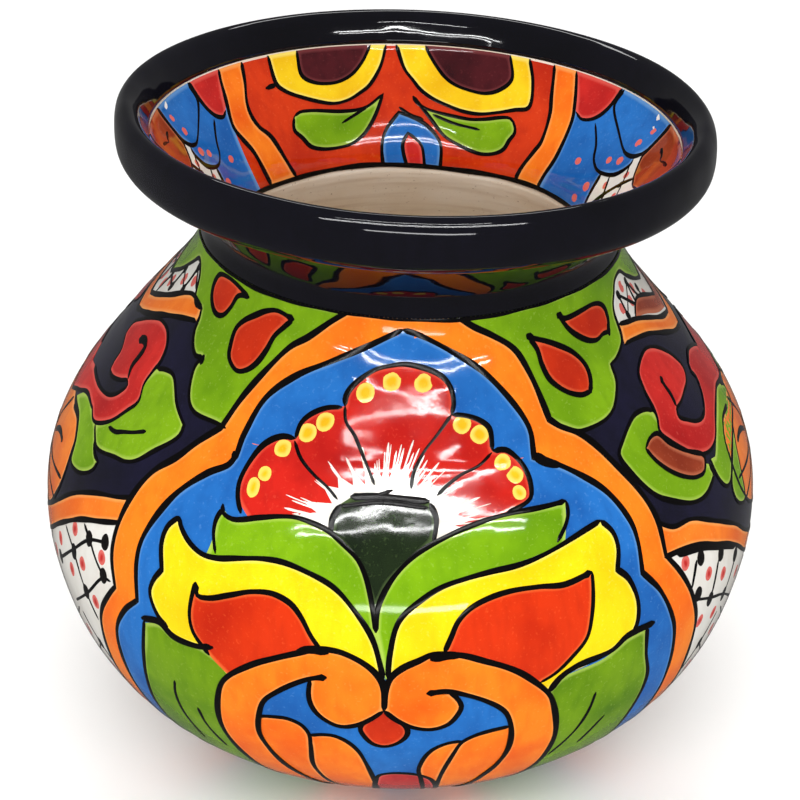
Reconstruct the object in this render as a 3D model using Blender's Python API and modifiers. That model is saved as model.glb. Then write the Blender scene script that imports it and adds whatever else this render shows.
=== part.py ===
"""A wide-bellied painted earthenware vase with a flared neck and a rolled rim.

The clay body is five sections that the potter lutes together: a foot slab, a lower bowl, an upper
shoulder, a flared neck collar and a rim coil. Five glaze coats lie over them. The neck was set on a
little off centre, so everything above the shoulder leans towards +X.

Metres, +Z up. The origin is at the middle of the foot, on the surface that the vase stands on.
"""

import math

import bmesh
import bpy
from mathutils import Vector

MM = 0.001

# Driving dimensions, in millimetres
BELLY_RADIUS = 108.0
BELLY_HEIGHT = 75.0       # height of the widest ring above the foot
FOOT_RADIUS = 50.0
NECK_RADIUS = 61.1        # outside of the neck where the painted shoulder ends
NECK_HEIGHT = 158.3
THROAT_RADIUS = 55.2      # narrowest opening inside the neck
THROAT_HEIGHT = 158.0
RIM_RADIUS = 86.0         # outside of the rolled rim
RIM_TOP = 196.8
WALL = 5.7                # clay thickness
COAT = 0.5                # glaze thickness
GAP = 0.3                 # clearance between pieces that touch
SLAB_TOP = 6.5            # thickness of the foot slab at its middle
BARE_FOOT = 1.2           # height of the unglazed edge above the foot

SEGMENTS = 48             # facets round every turned piece
CREASE_ANGLE = math.radians(40)

# The lean of the neck: it starts low on the shoulder and is complete at the neck ring
LEAN_START = 122.0
NECK_SHIFT = 3.0          # sideways shift at the neck ring, towards +X
RIM_SHIFT = 4.7           # sideways shift at the middle of the rim
RIM_CENTRE = 188.9
NECK_TILT = math.radians(1.8)
RIM_TILT = math.radians(2.4)

# Outlines of the glazed surface, (radius, height), each running on from the one before:
# up the inside of the neck, over the rim, down the outside of the neck and down the belly
FUNNEL = [(THROAT_RADIUS, THROAT_HEIGHT), (58.0, 165.2), (63.8, 173.4), (69.4, 180.0), (74.6, 186.0)]
RIM = [(74.6, 186.0), (77.0, 191.6), (79.4, 195.4), (82.4, RIM_TOP), (84.9, 194.6),
       (RIM_RADIUS, 189.0), (85.3, 183.9), (82.6, 181.1), (79.0, 181.7)]
NECK = [(79.0, 181.7), (71.8, 178.4), (64.8, 171.2), (61.0, 164.0), (NECK_RADIUS, NECK_HEIGHT)]
SHOULDER = [(NECK_RADIUS, NECK_HEIGHT), (62.7, 152.6), (67.4, 145.0), (76.2, 134.6), (88.3, 120.2),
            (99.0, 106.0), (105.8, 91.0), (BELLY_RADIUS, BELLY_HEIGHT)]
BOWL = [(BELLY_RADIUS, BELLY_HEIGHT), (106.6, 61.5), (101.8, 44.6), (92.6, 28.6), (80.6, 16.8),
        (66.0, 7.4), (FOOT_RADIUS, 0.0)]

GLAZES = {
    "foot_slab": ("bisque_foot", (0.52, 0.24, 0.12), 0.85),
    "lower_bowl": ("bisque_bowl", (0.55, 0.27, 0.14), 0.85),
    "upper_shoulder": ("bisque_shoulder", (0.55, 0.27, 0.14), 0.85),
    "neck_collar": ("bisque_collar", (0.55, 0.27, 0.14), 0.85),
    "rim_coil": ("bisque_coil", (0.55, 0.27, 0.14), 0.85),
    "bowl_glaze": ("painted_bowl_glaze", (0.80, 0.30, 0.04), 0.12),
    "shoulder_glaze": ("painted_shoulder_glaze", (0.24, 0.40, 0.02), 0.12),
    "neck_glaze": ("dark_neck_glaze", (0.012, 0.009, 0.020), 0.06),
    "rim_glaze": ("dark_rim_glaze", (0.010, 0.008, 0.018), 0.05),
    "funnel_glaze": ("painted_funnel_glaze", (0.80, 0.22, 0.03), 0.12),
}


def clear_scene():
    for item in list(bpy.data.objects):
        bpy.data.objects.remove(item, do_unlink=True)


def inward(line, distance):
    """The line moved into the clay, square to itself. The clay lies on the left of an outline
    that runs down the outside."""
    moved = []
    for k, (r, z) in enumerate(line):
        before = line[max(k - 1, 0)]
        after = line[min(k + 1, len(line) - 1)]
        along = Vector((after[0] - before[0], after[1] - before[1])).normalized()
        moved.append((r + along.y * distance, z - along.x * distance))
    return moved


def trimmed(line, start=0.0, end=0.0):
    """The line with its first and last facets cut short by these lengths."""
    line = [Vector(p) for p in line]
    if start:
        line[0] += (line[1] - line[0]).normalized() * start
    if end:
        line[-1] += (line[-2] - line[-1]).normalized() * end
    return [tuple(p) for p in line]


def blend_in(height, start, end):
    """0 below start and 1 above end, with a soft change between."""
    t = min(max((height - start) / (end - start), 0.0), 1.0)
    return t * t * (3 - 2 * t)


def lean(point):
    """Shifts and tilts what lies above the shoulder, as the neck sits on the real vase."""
    height = point.z / MM
    at_neck = blend_in(height, LEAN_START, NECK_HEIGHT)
    at_rim = blend_in(height, NECK_HEIGHT, RIM_CENTRE)
    shift = NECK_SHIFT * at_neck + (RIM_SHIFT - NECK_SHIFT) * at_rim
    tilt = NECK_TILT * at_neck + (RIM_TILT - NECK_TILT) * at_rim
    return Vector((point.x * math.cos(tilt) + shift * MM, point.y,
                   point.z - point.x * math.sin(tilt)))


def make_material(node):
    name, colour, roughness = GLAZES[node]
    material = bpy.data.materials.new(name)
    material.use_nodes = True
    shader = material.node_tree.nodes["Principled BSDF"]
    shader.inputs["Base Color"].default_value = (*colour, 1.0)
    shader.inputs["Roughness"].default_value = roughness
    shader.inputs["Metallic"].default_value = 0.0
    return material


def turned(node, line, closed=False, thickness=0.0):
    """Turns an outline about Z. An open outline gets its thickness towards the clay side."""
    mesh = bpy.data.meshes.new(node)
    points = [(r * MM, 0.0, z * MM) for r, z in line]
    edges = [(k, k + 1) for k in range(len(points) - 1)]
    if closed:
        edges.append((len(points) - 1, 0))
    mesh.from_pydata(points, edges, [])
    piece = bpy.data.objects.new(node, mesh)
    vase.objects.link(piece)
    screw = piece.modifiers.new("turn", "SCREW")
    screw.axis = "Z"
    screw.steps = SEGMENTS
    screw.render_steps = SEGMENTS
    screw.use_merge_vertices = True
    screw.merge_threshold = 0.00001
    if thickness:
        wall = piece.modifiers.new("thickness", "SOLIDIFY")
        wall.thickness = thickness * MM
        wall.offset = -1.0
        wall.use_even_offset = True
    return set_leaning(piece)


def set_leaning(piece):
    """Replaces the turned piece's outline by its finished mesh, leaning with the neck."""
    bpy.context.view_layer.update()
    evaluated = piece.evaluated_get(bpy.context.evaluated_depsgraph_get())
    mesh = bpy.data.meshes.new_from_object(evaluated)
    piece.modifiers.clear()
    piece.data = mesh
    for vertex in mesh.vertices:
        vertex.co = lean(vertex.co)
    mesh.shade_smooth()
    mesh.set_sharp_from_angle(angle=CREASE_ANGLE)
    mesh.materials.clear()
    mesh.materials.append(make_material(piece.name))
    return piece


def section(outer, inner, start, end):
    """The closed outline of the wall between two joints, each half a gap short of its joint."""
    half = GAP / 2
    outside = trimmed(outer[start:end + 1], start=half, end=half)
    inside = trimmed(inner[start:end + 1], start=half, end=half)
    return outside + inside[::-1]


def make_belly(outer, inner, neck_joint, belt_joint, slab_joint):
    """Two moulded half shells, luted at the widest ring, on a flat slab with a turned-up edge."""
    turned("upper_shoulder", section(outer, inner, neck_joint, belt_joint), closed=True)
    turned("lower_bowl", section(outer, inner, belt_joint, slab_joint), closed=True)
    half = GAP / 2
    edge = trimmed(outer[slab_joint:], start=half)
    corner = trimmed(inner[slab_joint:], start=half)[0]
    turned("foot_slab", [(0.0, SLAB_TOP), (corner[0] - WALL, SLAB_TOP), corner, *edge,
                         (FOOT_RADIUS - COAT - GAP, 0.0), (0.0, 0.0)])


def make_neck(outer, neck_joint):
    """The flared collar, and the rim coil that is wrapped round its lip."""
    half = GAP / 2
    outside = trimmed(outer[:neck_joint + 1], start=half, end=half)
    inside = trimmed(inward(FUNNEL, COAT + GAP), start=half, end=half)
    turned("neck_collar", outside + inside, closed=True)
    turned("rim_coil", trimmed(inward(RIM, COAT + GAP), start=half, end=half), closed=True)


def make_glazes():
    """The fired coats, each a thin shell just clear of the clay under it."""
    half = GAP / 2
    turned("funnel_glaze", trimmed(FUNNEL, end=half), thickness=COAT)
    turned("rim_glaze", trimmed(RIM, start=half, end=half + COAT), thickness=COAT)
    turned("neck_glaze", trimmed(NECK, start=half + COAT, end=half), thickness=COAT)
    turned("shoulder_glaze", trimmed(SHOULDER, start=half, end=half), thickness=COAT)
    turned("bowl_glaze", trimmed(BOWL, start=half, end=2 * BARE_FOOT), thickness=COAT)


clear_scene()
vase = bpy.data.collections.new("painted_vase")
bpy.context.scene.collection.children.link(vase)

outside = NECK + SHOULDER[1:] + BOWL[1:]
clay_outer = inward(outside, COAT + GAP)
clay_inner = inward(outside, COAT + GAP + WALL)
neck_ring = len(NECK) - 1
belt = neck_ring + len(SHOULDER) - 1
slab_edge = len(outside) - 2

make_belly(clay_outer, clay_inner, neck_ring, belt, slab_edge)
make_neck(clay_outer, neck_ring)
make_glazes()
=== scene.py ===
import math
import random

import bpy
import numpy as np
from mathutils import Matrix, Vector, geometry


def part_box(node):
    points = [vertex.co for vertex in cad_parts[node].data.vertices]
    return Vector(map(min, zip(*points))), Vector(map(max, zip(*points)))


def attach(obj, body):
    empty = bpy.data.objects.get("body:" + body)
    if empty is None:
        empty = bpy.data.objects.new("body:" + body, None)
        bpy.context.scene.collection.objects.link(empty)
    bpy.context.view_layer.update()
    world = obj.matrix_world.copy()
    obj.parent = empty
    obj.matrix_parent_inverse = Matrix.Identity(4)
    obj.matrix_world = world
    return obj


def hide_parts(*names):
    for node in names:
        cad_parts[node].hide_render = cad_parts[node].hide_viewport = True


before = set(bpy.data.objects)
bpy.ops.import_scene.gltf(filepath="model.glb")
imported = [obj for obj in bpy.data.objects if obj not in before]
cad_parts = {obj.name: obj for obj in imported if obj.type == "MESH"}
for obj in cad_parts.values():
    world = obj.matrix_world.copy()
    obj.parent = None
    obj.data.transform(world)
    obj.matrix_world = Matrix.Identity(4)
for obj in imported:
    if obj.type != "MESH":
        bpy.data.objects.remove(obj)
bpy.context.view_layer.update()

# ---------------------------------------------------------------------------------------------
# The vase's measures. Outlines are (radius, height) in millimetres at a belly radius of 108.
# ---------------------------------------------------------------------------------------------

BELLY = 108.0
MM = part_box("bowl_glaze")[1].x / BELLY
NECK_RING = 158.3          # height where the painted shoulder meets the dark neck
RIM_CENTRE = 188.9
LEAN_START = 122.0         # the neck was set on a little to the right and tilted
NECK_SHIFT, RIM_SHIFT = 3.0, 4.7
NECK_TILT, RIM_TILT = math.radians(1.8), math.radians(2.4)

FUNNEL = [(77.0, 191.6), (74.6, 186.0), (69.4, 180.0), (63.8, 173.4), (58.0, 165.2), (55.0, 159.0),
          (54.3, 154.5), (55.9, 150.0)]
RIM = [(75.6, 188.4), (77.2, 192.0), (79.2, 195.3), (82.0, 196.8), (84.3, 194.6), (85.2, 189.0),
       (84.6, 183.9), (82.2, 181.1), (79.0, 181.6)]
NECK = [(79.6, 182.2), (71.8, 178.4), (64.8, 171.2), (61.0, 164.0), (61.1, 158.3)]
BODY = [(61.1, 158.3), (62.7, 152.6), (67.4, 145.0), (76.2, 134.6), (88.3, 120.2), (99.0, 106.0),
        (105.8, 91.0), (108.0, 75.0), (106.6, 61.5), (101.8, 44.6), (92.6, 28.6), (80.6, 16.8),
        (66.0, 7.4), (51.0, 0.6)]
WALL = 6.5                 # thickness of the clay
COAT = 0.5                 # thickness of a glaze coat, set into the clay
FLOOR_IN = 6.5             # height of the floor inside

# Waves that the hand left in the wall: (size, waves round, phase, how it turns up the wall)
WAVES = ((0.22, 2, 0.9, 0.011), (0.14, 3, -0.6, -0.024), (0.07, 5, 0.0, 0.05), (0.05, 8, 2.0, -0.09))
RING_HEIGHT, RING_TILT = 126.2, 2.0     # the shallow ring on the shoulder
RING_SIZE, RING_WIDTH = 0.28, 1.7

TURN_STEPS = 240           # facets round a turned piece
STEP = 0.035               # millimetres from one painted layer up to the next
GROUND = 0.05              # how far the lowest painted layer stands off the undercoat
ROUNDED = 0.03             # how much a glaze field drops at its rounded edge
EDGE = 1.5                 # width of that edge, where the glaze also runs thin
GRID, MOUTH_GRID = 2.5, 1.7   # spacing of the points inside a glaze field
SUNK = 0.12                # how deep the hidden side of a painted piece lies in the undercoat
SIDE_BRUSH = 0.8           # the sides are outlined with a finer brush than the front
FOOT = 198.0               # run at which the painting stops, just above the foot
SEAM = 89.0                # past this angle the front and the far painting meet, and lie flat

# A brushed line across: (part of its half width, height, whether it shows)
BRUSH_SECTION = ((-1.0, -0.15, False), (-1.0, 0.015, True), (-0.55, 0.045, True), (0.0, 0.055, True),
                 (0.55, 0.045, True), (1.0, 0.015, True), (1.0, -0.15, False))

chance = random.Random(11)


def blend_in(height, start, end):
    t = np.clip((height - start) / (end - start), 0.0, 1.0)
    return t * t * (3 - 2 * t)


def lean(x, y, z):
    """Shifts and tilts what lies above the shoulder. Millimetres in, metres out."""
    at_neck = blend_in(z, LEAN_START, NECK_RING)
    at_rim = blend_in(z, NECK_RING, RIM_CENTRE)
    shift = NECK_SHIFT * at_neck + (RIM_SHIFT - NECK_SHIFT) * at_rim
    tilt = NECK_TILT * at_neck + (RIM_TILT - NECK_TILT) * at_rim
    return np.stack([x * np.cos(tilt) + shift, y, z - x * np.sin(tilt)], -1) * MM


def hand_wobble(angle, height):
    """The unevenness of the hand-finished wall and the shallow ring left on the shoulder, in mm."""
    a = np.radians(angle)
    uneven = sum(size * np.sin(around * a + phase + turning * height)
                 for size, around, phase, turning in WAVES)
    turning_marks = 0.06 * np.sin(height * 0.16 + 2 * np.sin(a))
    ring = RING_SIZE * np.exp(-((height - RING_HEIGHT + RING_TILT * np.sin(a)) / RING_WIDTH) ** 2)
    return uneven + turning_marks + ring


def shaped(x, y, z):
    """Carries points of the true turned form onto the real, uneven and leaning one. Gives metres."""
    r = np.hypot(x, y)
    angle = np.degrees(np.arctan2(x, -y))
    grown = (r + hand_wobble(angle, z) * np.clip(r / 20.0, 0, 1)) / np.maximum(r, 1e-6)
    return lean(x * grown, y * grown, z)


def curve_through(points, spacing, closed=False):
    """A smooth line through the points, sampled about every `spacing`. A point with a third entry
    is a sharp corner."""
    flat = [np.array(p[:2], float) for p in points]
    corner = [len(p) > 2 for p in points]
    if closed and any(corner):
        k = corner.index(True)
        flat, corner = flat[k:] + flat[:k], corner[k:] + corner[:k]
        flat.append(flat[0])
        corner.append(True)
    count = len(flat)
    around = closed and not any(corner)
    spans = count if around else count - 1
    line = []
    for i in range(spans):
        p1, p2 = flat[i], flat[(i + 1) % count]
        before = flat[(i - 1) % count] if (i > 0 or around) else None
        after = flat[(i + 2) % count] if (i + 2 < count or around) else None
        p0 = 2 * p1 - p2 if before is None or corner[i] else before
        p3 = 2 * p2 - p1 if after is None or corner[(i + 1) % count] else after
        steps = max(2, int(math.ceil(np.linalg.norm(p2 - p1) / spacing)))
        knots = np.cumsum([0.0] + [max(np.linalg.norm(b - a), 1e-6) ** 0.5
                                   for a, b in ((p0, p1), (p1, p2), (p2, p3))])
        for t in np.linspace(knots[1], knots[2], steps, endpoint=False):
            line.append(barry_goldman(p0, p1, p2, p3, knots, t))
    if not closed:
        line.append(flat[-1])
    return np.array(line)


def barry_goldman(p0, p1, p2, p3, k, t):
    """A point of the centripetal curve through four points."""
    a1 = (k[1] - t) / (k[1] - k[0]) * p0 + (t - k[0]) / (k[1] - k[0]) * p1
    a2 = (k[2] - t) / (k[2] - k[1]) * p1 + (t - k[1]) / (k[2] - k[1]) * p2
    a3 = (k[3] - t) / (k[3] - k[2]) * p2 + (t - k[2]) / (k[3] - k[2]) * p3
    b1 = (k[2] - t) / (k[2] - k[0]) * a1 + (t - k[0]) / (k[2] - k[0]) * a2
    b2 = (k[3] - t) / (k[3] - k[1]) * a2 + (t - k[1]) / (k[3] - k[1]) * a3
    return (k[2] - t) / (k[2] - k[1]) * b1 + (t - k[1]) / (k[2] - k[1]) * b2


class Wall:
    """A turned surface that can be painted on. A place on it is (angle in degrees, run in
    millimetres down the wall), and `face` is 1 for the outside and -1 for the inside."""

    def __init__(self, outline, start, face, turn):
        self.line = curve_through(outline, 0.7)
        lengths = np.linalg.norm(np.diff(self.line, axis=0), axis=1)
        nearest = np.argmin(np.linalg.norm(self.line - np.array(start), axis=1))
        self.run = np.concatenate([[0.0], np.cumsum(lengths)])
        self.run -= self.run[nearest]
        along = np.gradient(self.line, axis=0)
        along /= np.linalg.norm(along, axis=1)[:, None]
        self.out = np.stack([-along[:, 1], along[:, 0]], -1) * face
        self.turn = turn          # turns a drawing angle into a compass angle

    def radius(self, run):
        return np.interp(run, self.run, self.line[:, 0])

    def place(self, angle, run, lift, behind=False):
        """Points in metres. `behind` puts the drawing on the far side, mirrored."""
        angle = self.turn(angle)
        a = np.radians(180.0 - angle if behind else angle)
        r = np.interp(run, self.run, self.line[:, 0]) + np.interp(run, self.run, self.out[:, 0]) * lift
        z = np.interp(run, self.run, self.line[:, 1]) + np.interp(run, self.run, self.out[:, 1]) * lift
        return shaped(r * np.sin(a), -r * np.cos(a), z)

    def flat(self, points, closed=False, straight=False):
        """(angle, run) drawn out flat, in millimetres both ways. Corner marks are kept, and a side
        between two corners is split up so that it follows the wall."""
        followed = []
        for k, p in enumerate(points):
            followed.append(p)
            after = points[(k + 1) % len(points)]
            last = k == len(points) - 1 and not closed
            if last or not (straight or (len(p) > 2 and len(after) > 2)):
                continue
            size = max(abs(after[0] - p[0]), abs(after[1] - p[1]))
            parts = int(size // 2) + 1
            followed += [(p[0] + (after[0] - p[0]) * i / parts, p[1] + (after[1] - p[1]) * i / parts, 1)
                         for i in range(1, parts)]
        return [(float(self.radius(p[1])) * math.radians(p[0]), p[1], *p[2:]) for p in followed]

    def rolled(self, x, y):
        return np.degrees(x / self.radius(y)), y


outside = Wall(BODY, BODY[0], 1, lambda a: a)
inside = Wall(FUNNEL, FUNNEL[1], -1, lambda a: 180.0 - a)


# ---------------------------------------------------------------------------------------------
# Turned pieces
# ---------------------------------------------------------------------------------------------

def behind_line(line, depth):
    """The same outline moved `depth` to the side away from the glaze."""
    along = np.gradient(line, axis=0)
    along /= np.linalg.norm(along, axis=1)[:, None]
    return line - np.stack([-along[:, 1], along[:, 0]], -1) * depth


def coat_outline(outline, spacing, depth):
    """A closed outline: the shown line, and the same line just behind it."""
    line = curve_through(outline, spacing)
    return np.vstack([line, behind_line(line, depth)[::-1]])


def turned(name, outline, closed):
    """Draws the outline by extruding one corner point by point, then spins it round the axis."""
    bpy.ops.object.select_all(action="DESELECT")
    bpy.ops.mesh.primitive_plane_add(size=2.0, location=(outline[0][0], 0, outline[0][1]))
    piece = bpy.context.object
    piece.name = piece.data.name = name
    bpy.ops.object.mode_set(mode="EDIT")
    bpy.ops.mesh.select_mode(type="VERT")
    bpy.ops.mesh.select_all(action="SELECT")
    bpy.ops.mesh.merge(type="CENTER")
    stops = list(outline) + ([outline[0]] if closed else [])
    for here, there in zip(stops[:-1], stops[1:]):
        move = (there[0] - here[0], 0, there[1] - here[1])
        bpy.ops.mesh.extrude_region_move(TRANSFORM_OT_translate={"value": move})
    bpy.ops.mesh.select_all(action="SELECT")
    bpy.ops.mesh.remove_doubles(threshold=0.005)
    bpy.ops.mesh.spin(steps=TURN_STEPS, angle=2 * math.pi, center=(0, 0, 0), axis=(0, 0, 1))
    bpy.ops.mesh.select_all(action="SELECT")
    bpy.ops.mesh.remove_doubles(threshold=0.01)
    bpy.ops.mesh.normals_make_consistent(inside=False)
    bpy.ops.object.mode_set(mode="OBJECT")
    bpy.ops.object.transform_apply(location=True, rotation=True, scale=True)
    place = np.empty(len(piece.data.vertices) * 3)
    piece.data.vertices.foreach_get("co", place)
    place = place.reshape(-1, 3)
    piece.data.vertices.foreach_set("co", shaped(*place.T).ravel())
    piece.data.attributes.new("edge", "FLOAT", "POINT").data.foreach_set("value", [1.0] * len(place))
    bpy.ops.object.shade_smooth_by_angle(angle=math.radians(50))
    return piece


# ---------------------------------------------------------------------------------------------
# Painting: fields of glaze and brushed lines
# ---------------------------------------------------------------------------------------------

class Paint:
    """Gathers everything painted in one colour, then makes it one piece."""

    def __init__(self):
        self.points, self.faces, self.edge, self.count = [], [], [], 0

    def add(self, points, faces, edge):
        self.faces += [tuple(i + self.count for i in face) for face in faces]
        self.points.append(points)
        self.edge.append(edge)
        self.count += len(points)

    def piece(self, name):
        mesh = bpy.data.meshes.new(name)
        mesh.from_pydata(np.vstack(self.points).tolist(), [], self.faces)
        thin = mesh.attributes.new("edge", "FLOAT", "POINT")
        thin.data.foreach_set("value", np.concatenate(self.edge))
        mesh.polygons.foreach_set("use_smooth", [True] * len(mesh.polygons))
        mesh.set_sharp_from_angle(angle=math.radians(60))
        piece = bpy.data.objects.new(name, mesh)
        bpy.context.collection.objects.link(piece)
        return piece


UPPER_END = 55.0     # outlines whose middle runs lie above this are the upper piece
paints = {}          # by colour, and for the black outlines also by the part of the vase


def facing(points, shown, away, shell):
    """The faces of a closed shell, turned round where its shown side looks into the wall."""
    a, b, c = (points[[face[i] for face in shown]] for i in range(3))
    looks_out = (np.cross(b - a, c - a) * away).sum() > 0
    return shell if looks_out else [face[::-1] for face in shell]


def distance_to(outline, x, y):
    """How far each point lies from the outline, and whether it lies inside it."""
    a, b = outline, np.roll(outline, -1, axis=0)
    p = np.stack([x, y], -1)[:, None, :]
    d = b - a
    t = np.clip(((p - a) * d).sum(-1) / np.maximum((d * d).sum(-1), 1e-12), 0, 1)
    away = np.linalg.norm(p - (a + t[..., None] * d), axis=-1).min(1)
    crosses = (a[:, 1] > p[..., 1]) != (b[:, 1] > p[..., 1])
    rise = np.where(np.abs(d[:, 1]) < 1e-12, 1e-12, d[:, 1])
    left = p[..., 0] < a[:, 0] + (p[..., 1] - a[:, 1]) / rise * d[:, 0]
    return away, (crosses & left).sum(1) % 2 == 1


def layer(level):
    """Height of a painted layer over the undercoat, in millimetres."""
    return GROUND + STEP * level


def field(colour, level, outline, wall=outside, smooth=True):
    """A field of glaze inside a closed outline of (angle, run) points."""
    grid = GRID if wall is outside else MOUTH_GRID
    flat = wall.flat(outline, closed=True, straight=not smooth)
    edge = curve_through(flat, 1.1, closed=True) if smooth else np.array([p[:2] for p in flat])
    low, high = edge.min(0), edge.max(0)
    xs, ys = np.meshgrid(np.arange(low[0], high[0], grid), np.arange(low[1], high[1], grid * 0.87))
    xs = xs + (np.arange(len(xs)) % 2)[:, None] * grid / 2
    spots = [np.stack([xs.ravel(), ys.ravel()], -1)]
    margins = [grid * 0.55 + EDGE]
    along = np.roll(edge, -1, axis=0) - np.roll(edge, 1, axis=0)
    along /= np.maximum(np.linalg.norm(along, axis=1), 1e-9)[:, None]
    sideways = np.stack([-along[:, 1], along[:, 0]], -1)
    for depth in (0.5, EDGE):
        for side in (-1, 1):
            spots.append(edge + sideways * depth * side)
            margins.append(depth * 0.93)
    kept = []
    for spot, margin in zip(spots, margins):
        away, within = distance_to(edge, *spot.T)
        kept.append(spot[within & (away > margin)])
    cloud = np.vstack([edge] + kept)
    cut = geometry.delaunay_2d_cdt([Vector(p) for p in cloud], [], [list(range(len(edge)))], 1, 1e-4)
    flat_points = np.array([tuple(v) for v in cut[0]])
    triangles = [tuple(f) for f in cut[2]]
    away, within = distance_to(edge, *flat_points.T)
    angle, run = wall.rolled(*flat_points.T)
    full = np.where(np.abs(angle) > SEAM, 1.0, np.clip(away / EDGE, 0, 1))
    lift = layer(level) - ROUNDED * (1 - full) ** 2
    count = len(flat_points)
    sides = {(f[i], f[(i + 1) % 3]) for f in triangles for i in range(3)}
    faces = triangles + [tuple(i + count for i in f[::-1]) for f in triangles]
    for i, j in ((f[i], f[(i + 1) % 3]) for f in triangles for i in range(3)):
        if (j, i) not in sides:
            faces += [(j, i, i + count), (j, i + count, j + count)]
    for far in (False, True):
        top = wall.place(angle, run, lift, far)
        under = wall.place(angle, run, np.full(count, -SUNK), far)
        shell = facing(top, triangles, (top - under)[[f[0] for f in triangles]], faces)
        paints.setdefault((colour, ""), Paint()).add(np.vstack([top, under]), shell,
                                                     np.concatenate([full, full]))


def line(points, width=1.7, start=0.0, end=0.0, level=4, colour="black line", wall=outside, relief=1.0):
    """A brushed line. `start` and `end` are the widths of the blobs where the brush set down and
    lifted off."""
    path = curve_through(wall.flat(points), 1.3)
    gaps = np.linalg.norm(np.diff(path, axis=0), axis=1)
    done = np.concatenate([[0.0], np.cumsum(gaps)])
    total = done[-1]
    phase, pace = chance.uniform(0, 6.3), chance.uniform(14, 24)
    if wall is outside and abs(np.mean([p[0] for p in points])) > 54:
        width, start, end = width * SIDE_BRUSH, start * SIDE_BRUSH, end * SIDE_BRUSH
    uneven = 0.11 * np.sin(done / pace * 6.3 + phase) + 0.07 * np.sin(done / 4.7 + 2 * phase)
    half = width * 0.47 * (1 + uneven)
    for blob, spot in ((start, 0.0), (end, total)):
        if blob:
            near = np.abs(done - spot)
            half = np.maximum(half, blob / 2 * np.exp(-((near - blob * 0.5) / (blob * 0.75)) ** 2))
    from_end = np.minimum(done, total - done)
    half = half * np.sqrt(np.clip(0.08 + from_end / (width * 0.9), 0, 1))
    along = np.gradient(path, axis=0)
    along /= np.maximum(np.linalg.norm(along, axis=1), 1e-9)[:, None]
    sideways = np.stack([-along[:, 1], along[:, 0]], -1)
    rings = [path + sideways * (half * across)[:, None] for across, _, _ in BRUSH_SECTION]
    lifts = [height * relief + layer(level) if shown else height for _, height, shown in BRUSH_SECTION]
    n, m = len(path), len(BRUSH_SECTION)
    faces = []
    for i in range(n - 1):
        for k in range(m):
            a, b = i * m + k, i * m + (k + 1) % m
            faces += [(a, b, b + m), (a, b + m, a + m)]
    faces += [tuple(range(m))[::-1], tuple((n - 1) * m + k for k in range(m))]
    flat_points = np.stack(rings, 1).reshape(-1, 2)
    lift = np.tile(lifts, n)
    angle, run = wall.rolled(*flat_points.T)
    run = np.clip(run, wall.run[0], wall.run[-1])
    middles = [(i * m + 2, i * m + 3, i * m + 3 + m) for i in range(n - 1)]
    for far in (False, True):
        body = wall.place(angle, run, lift, far)
        away = (body[3::m] - (body[0::m] + body[6::m]) / 2)[:-1]
        part = ""
        if colour == "black line":
            height = "upper" if np.mean(run) < UPPER_END else "lower"
            part = "mouth" if wall is inside else f"{'back' if far else 'front'} {height}"
        shell = facing(body, middles, away, faces)
        paints.setdefault((colour, part), Paint()).add(body, shell, np.ones(len(body)))


def dot(colour, level, angle, run, across, down=None, wall=outside):
    """A round or oval dab of glaze."""
    down = down or across
    degrees = math.degrees(1.0 / float(wall.radius(run)))
    lap = [(angle + across * degrees * math.sin(t) * chance.uniform(0.93, 1.07),
            run - down * math.cos(t) * chance.uniform(0.93, 1.07))
           for t in np.linspace(0, 2 * math.pi, 9)[:-1]]
    field(colour, level, lap, wall)


def ends_sharp(points):
    """The same points, with the first and the last marked as corners."""
    return [points[0] + (1,)] + points[1:-1] + [points[-1] + (1,)]


def strip_between(one, other):
    """The outline of the strip between two lines that run the same way."""
    return ends_sharp(one) + ends_sharp(other)[::-1]


# ---------------------------------------------------------------------------------------------
# The front of the belly. The far side carries the same painting. Points are (angle, run), and a
# third entry marks a corner.
# ---------------------------------------------------------------------------------------------

BORDER_LEFT = [(-15.9, -0.5), (-20, 3), (-25.3, 8.6), (-28.8, 12), (-32, 18.7), (-34.7, 28),
               (-36.1, 37.3, 1), (-39.7, 43.3), (-42.5, 49.3), (-46.1, 56), (-48.1, 64.7), (-48.9, 75),
               (-48.6, 83), (-47.2, 91.6, 1), (-48.6, 95), (-51.3, 103), (-52.8, 111.7), (-54, 130),
               (-54.5, 160), (-54.5, FOOT)]
BORDER_RIGHT = [(11.3, -0.5), (15.8, 2.9), (20.2, 5.7), (25.8, 10.7), (28.6, 18.6), (29.9, 28.6),
                (30.2, 32.5, 1), (32.3, 35.5), (35.5, 38.7), (37.8, 42.8), (40.2, 49.7), (42.5, 58),
                (44.2, 68.7), (43.9, 79.3, 1), (46.9, 87.7), (49.4, 97), (51.2, 106.3), (52.1, 118),
                (53.4, 140), (54.3, 165), (54.5, FOOT)]
APEX = (-2, 3, 1)
PANEL_LEFT = [APEX, (-5.9, 5.4), (-10.1, 8.2), (-18.1, 13.6), (-24.8, 18.9), (-29.5, 26.4),
              (-30.7, 35.7), (-30.7, 42.8, 1), (-31.5, 45.9), (-35, 50), (-39.7, 59.3), (-42.8, 73.3),
              (-42.9, 80), (-42, 91.4, 1), (-45, 97.3), (-47.7, 106.7), (-48.6, 125), (-48.8, 155),
              (-48, FOOT)]
PANEL_RIGHT = [APEX, (1.9, 4.3), (9.7, 8.9), (16.9, 15), (21.9, 22.9), (24.9, 30.7), (25.5, 35),
               (24.8, 41.4, 1), (26.9, 42.9), (32, 48.6), (36.5, 56.5), (38.9, 66.5), (39.1, 72),
               (38.6, 80.7, 1), (41.6, 88), (44.1, 97.7), (45.3, 104.5), (46.6, 120), (47.8, 150),
               (48, FOOT)]

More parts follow.
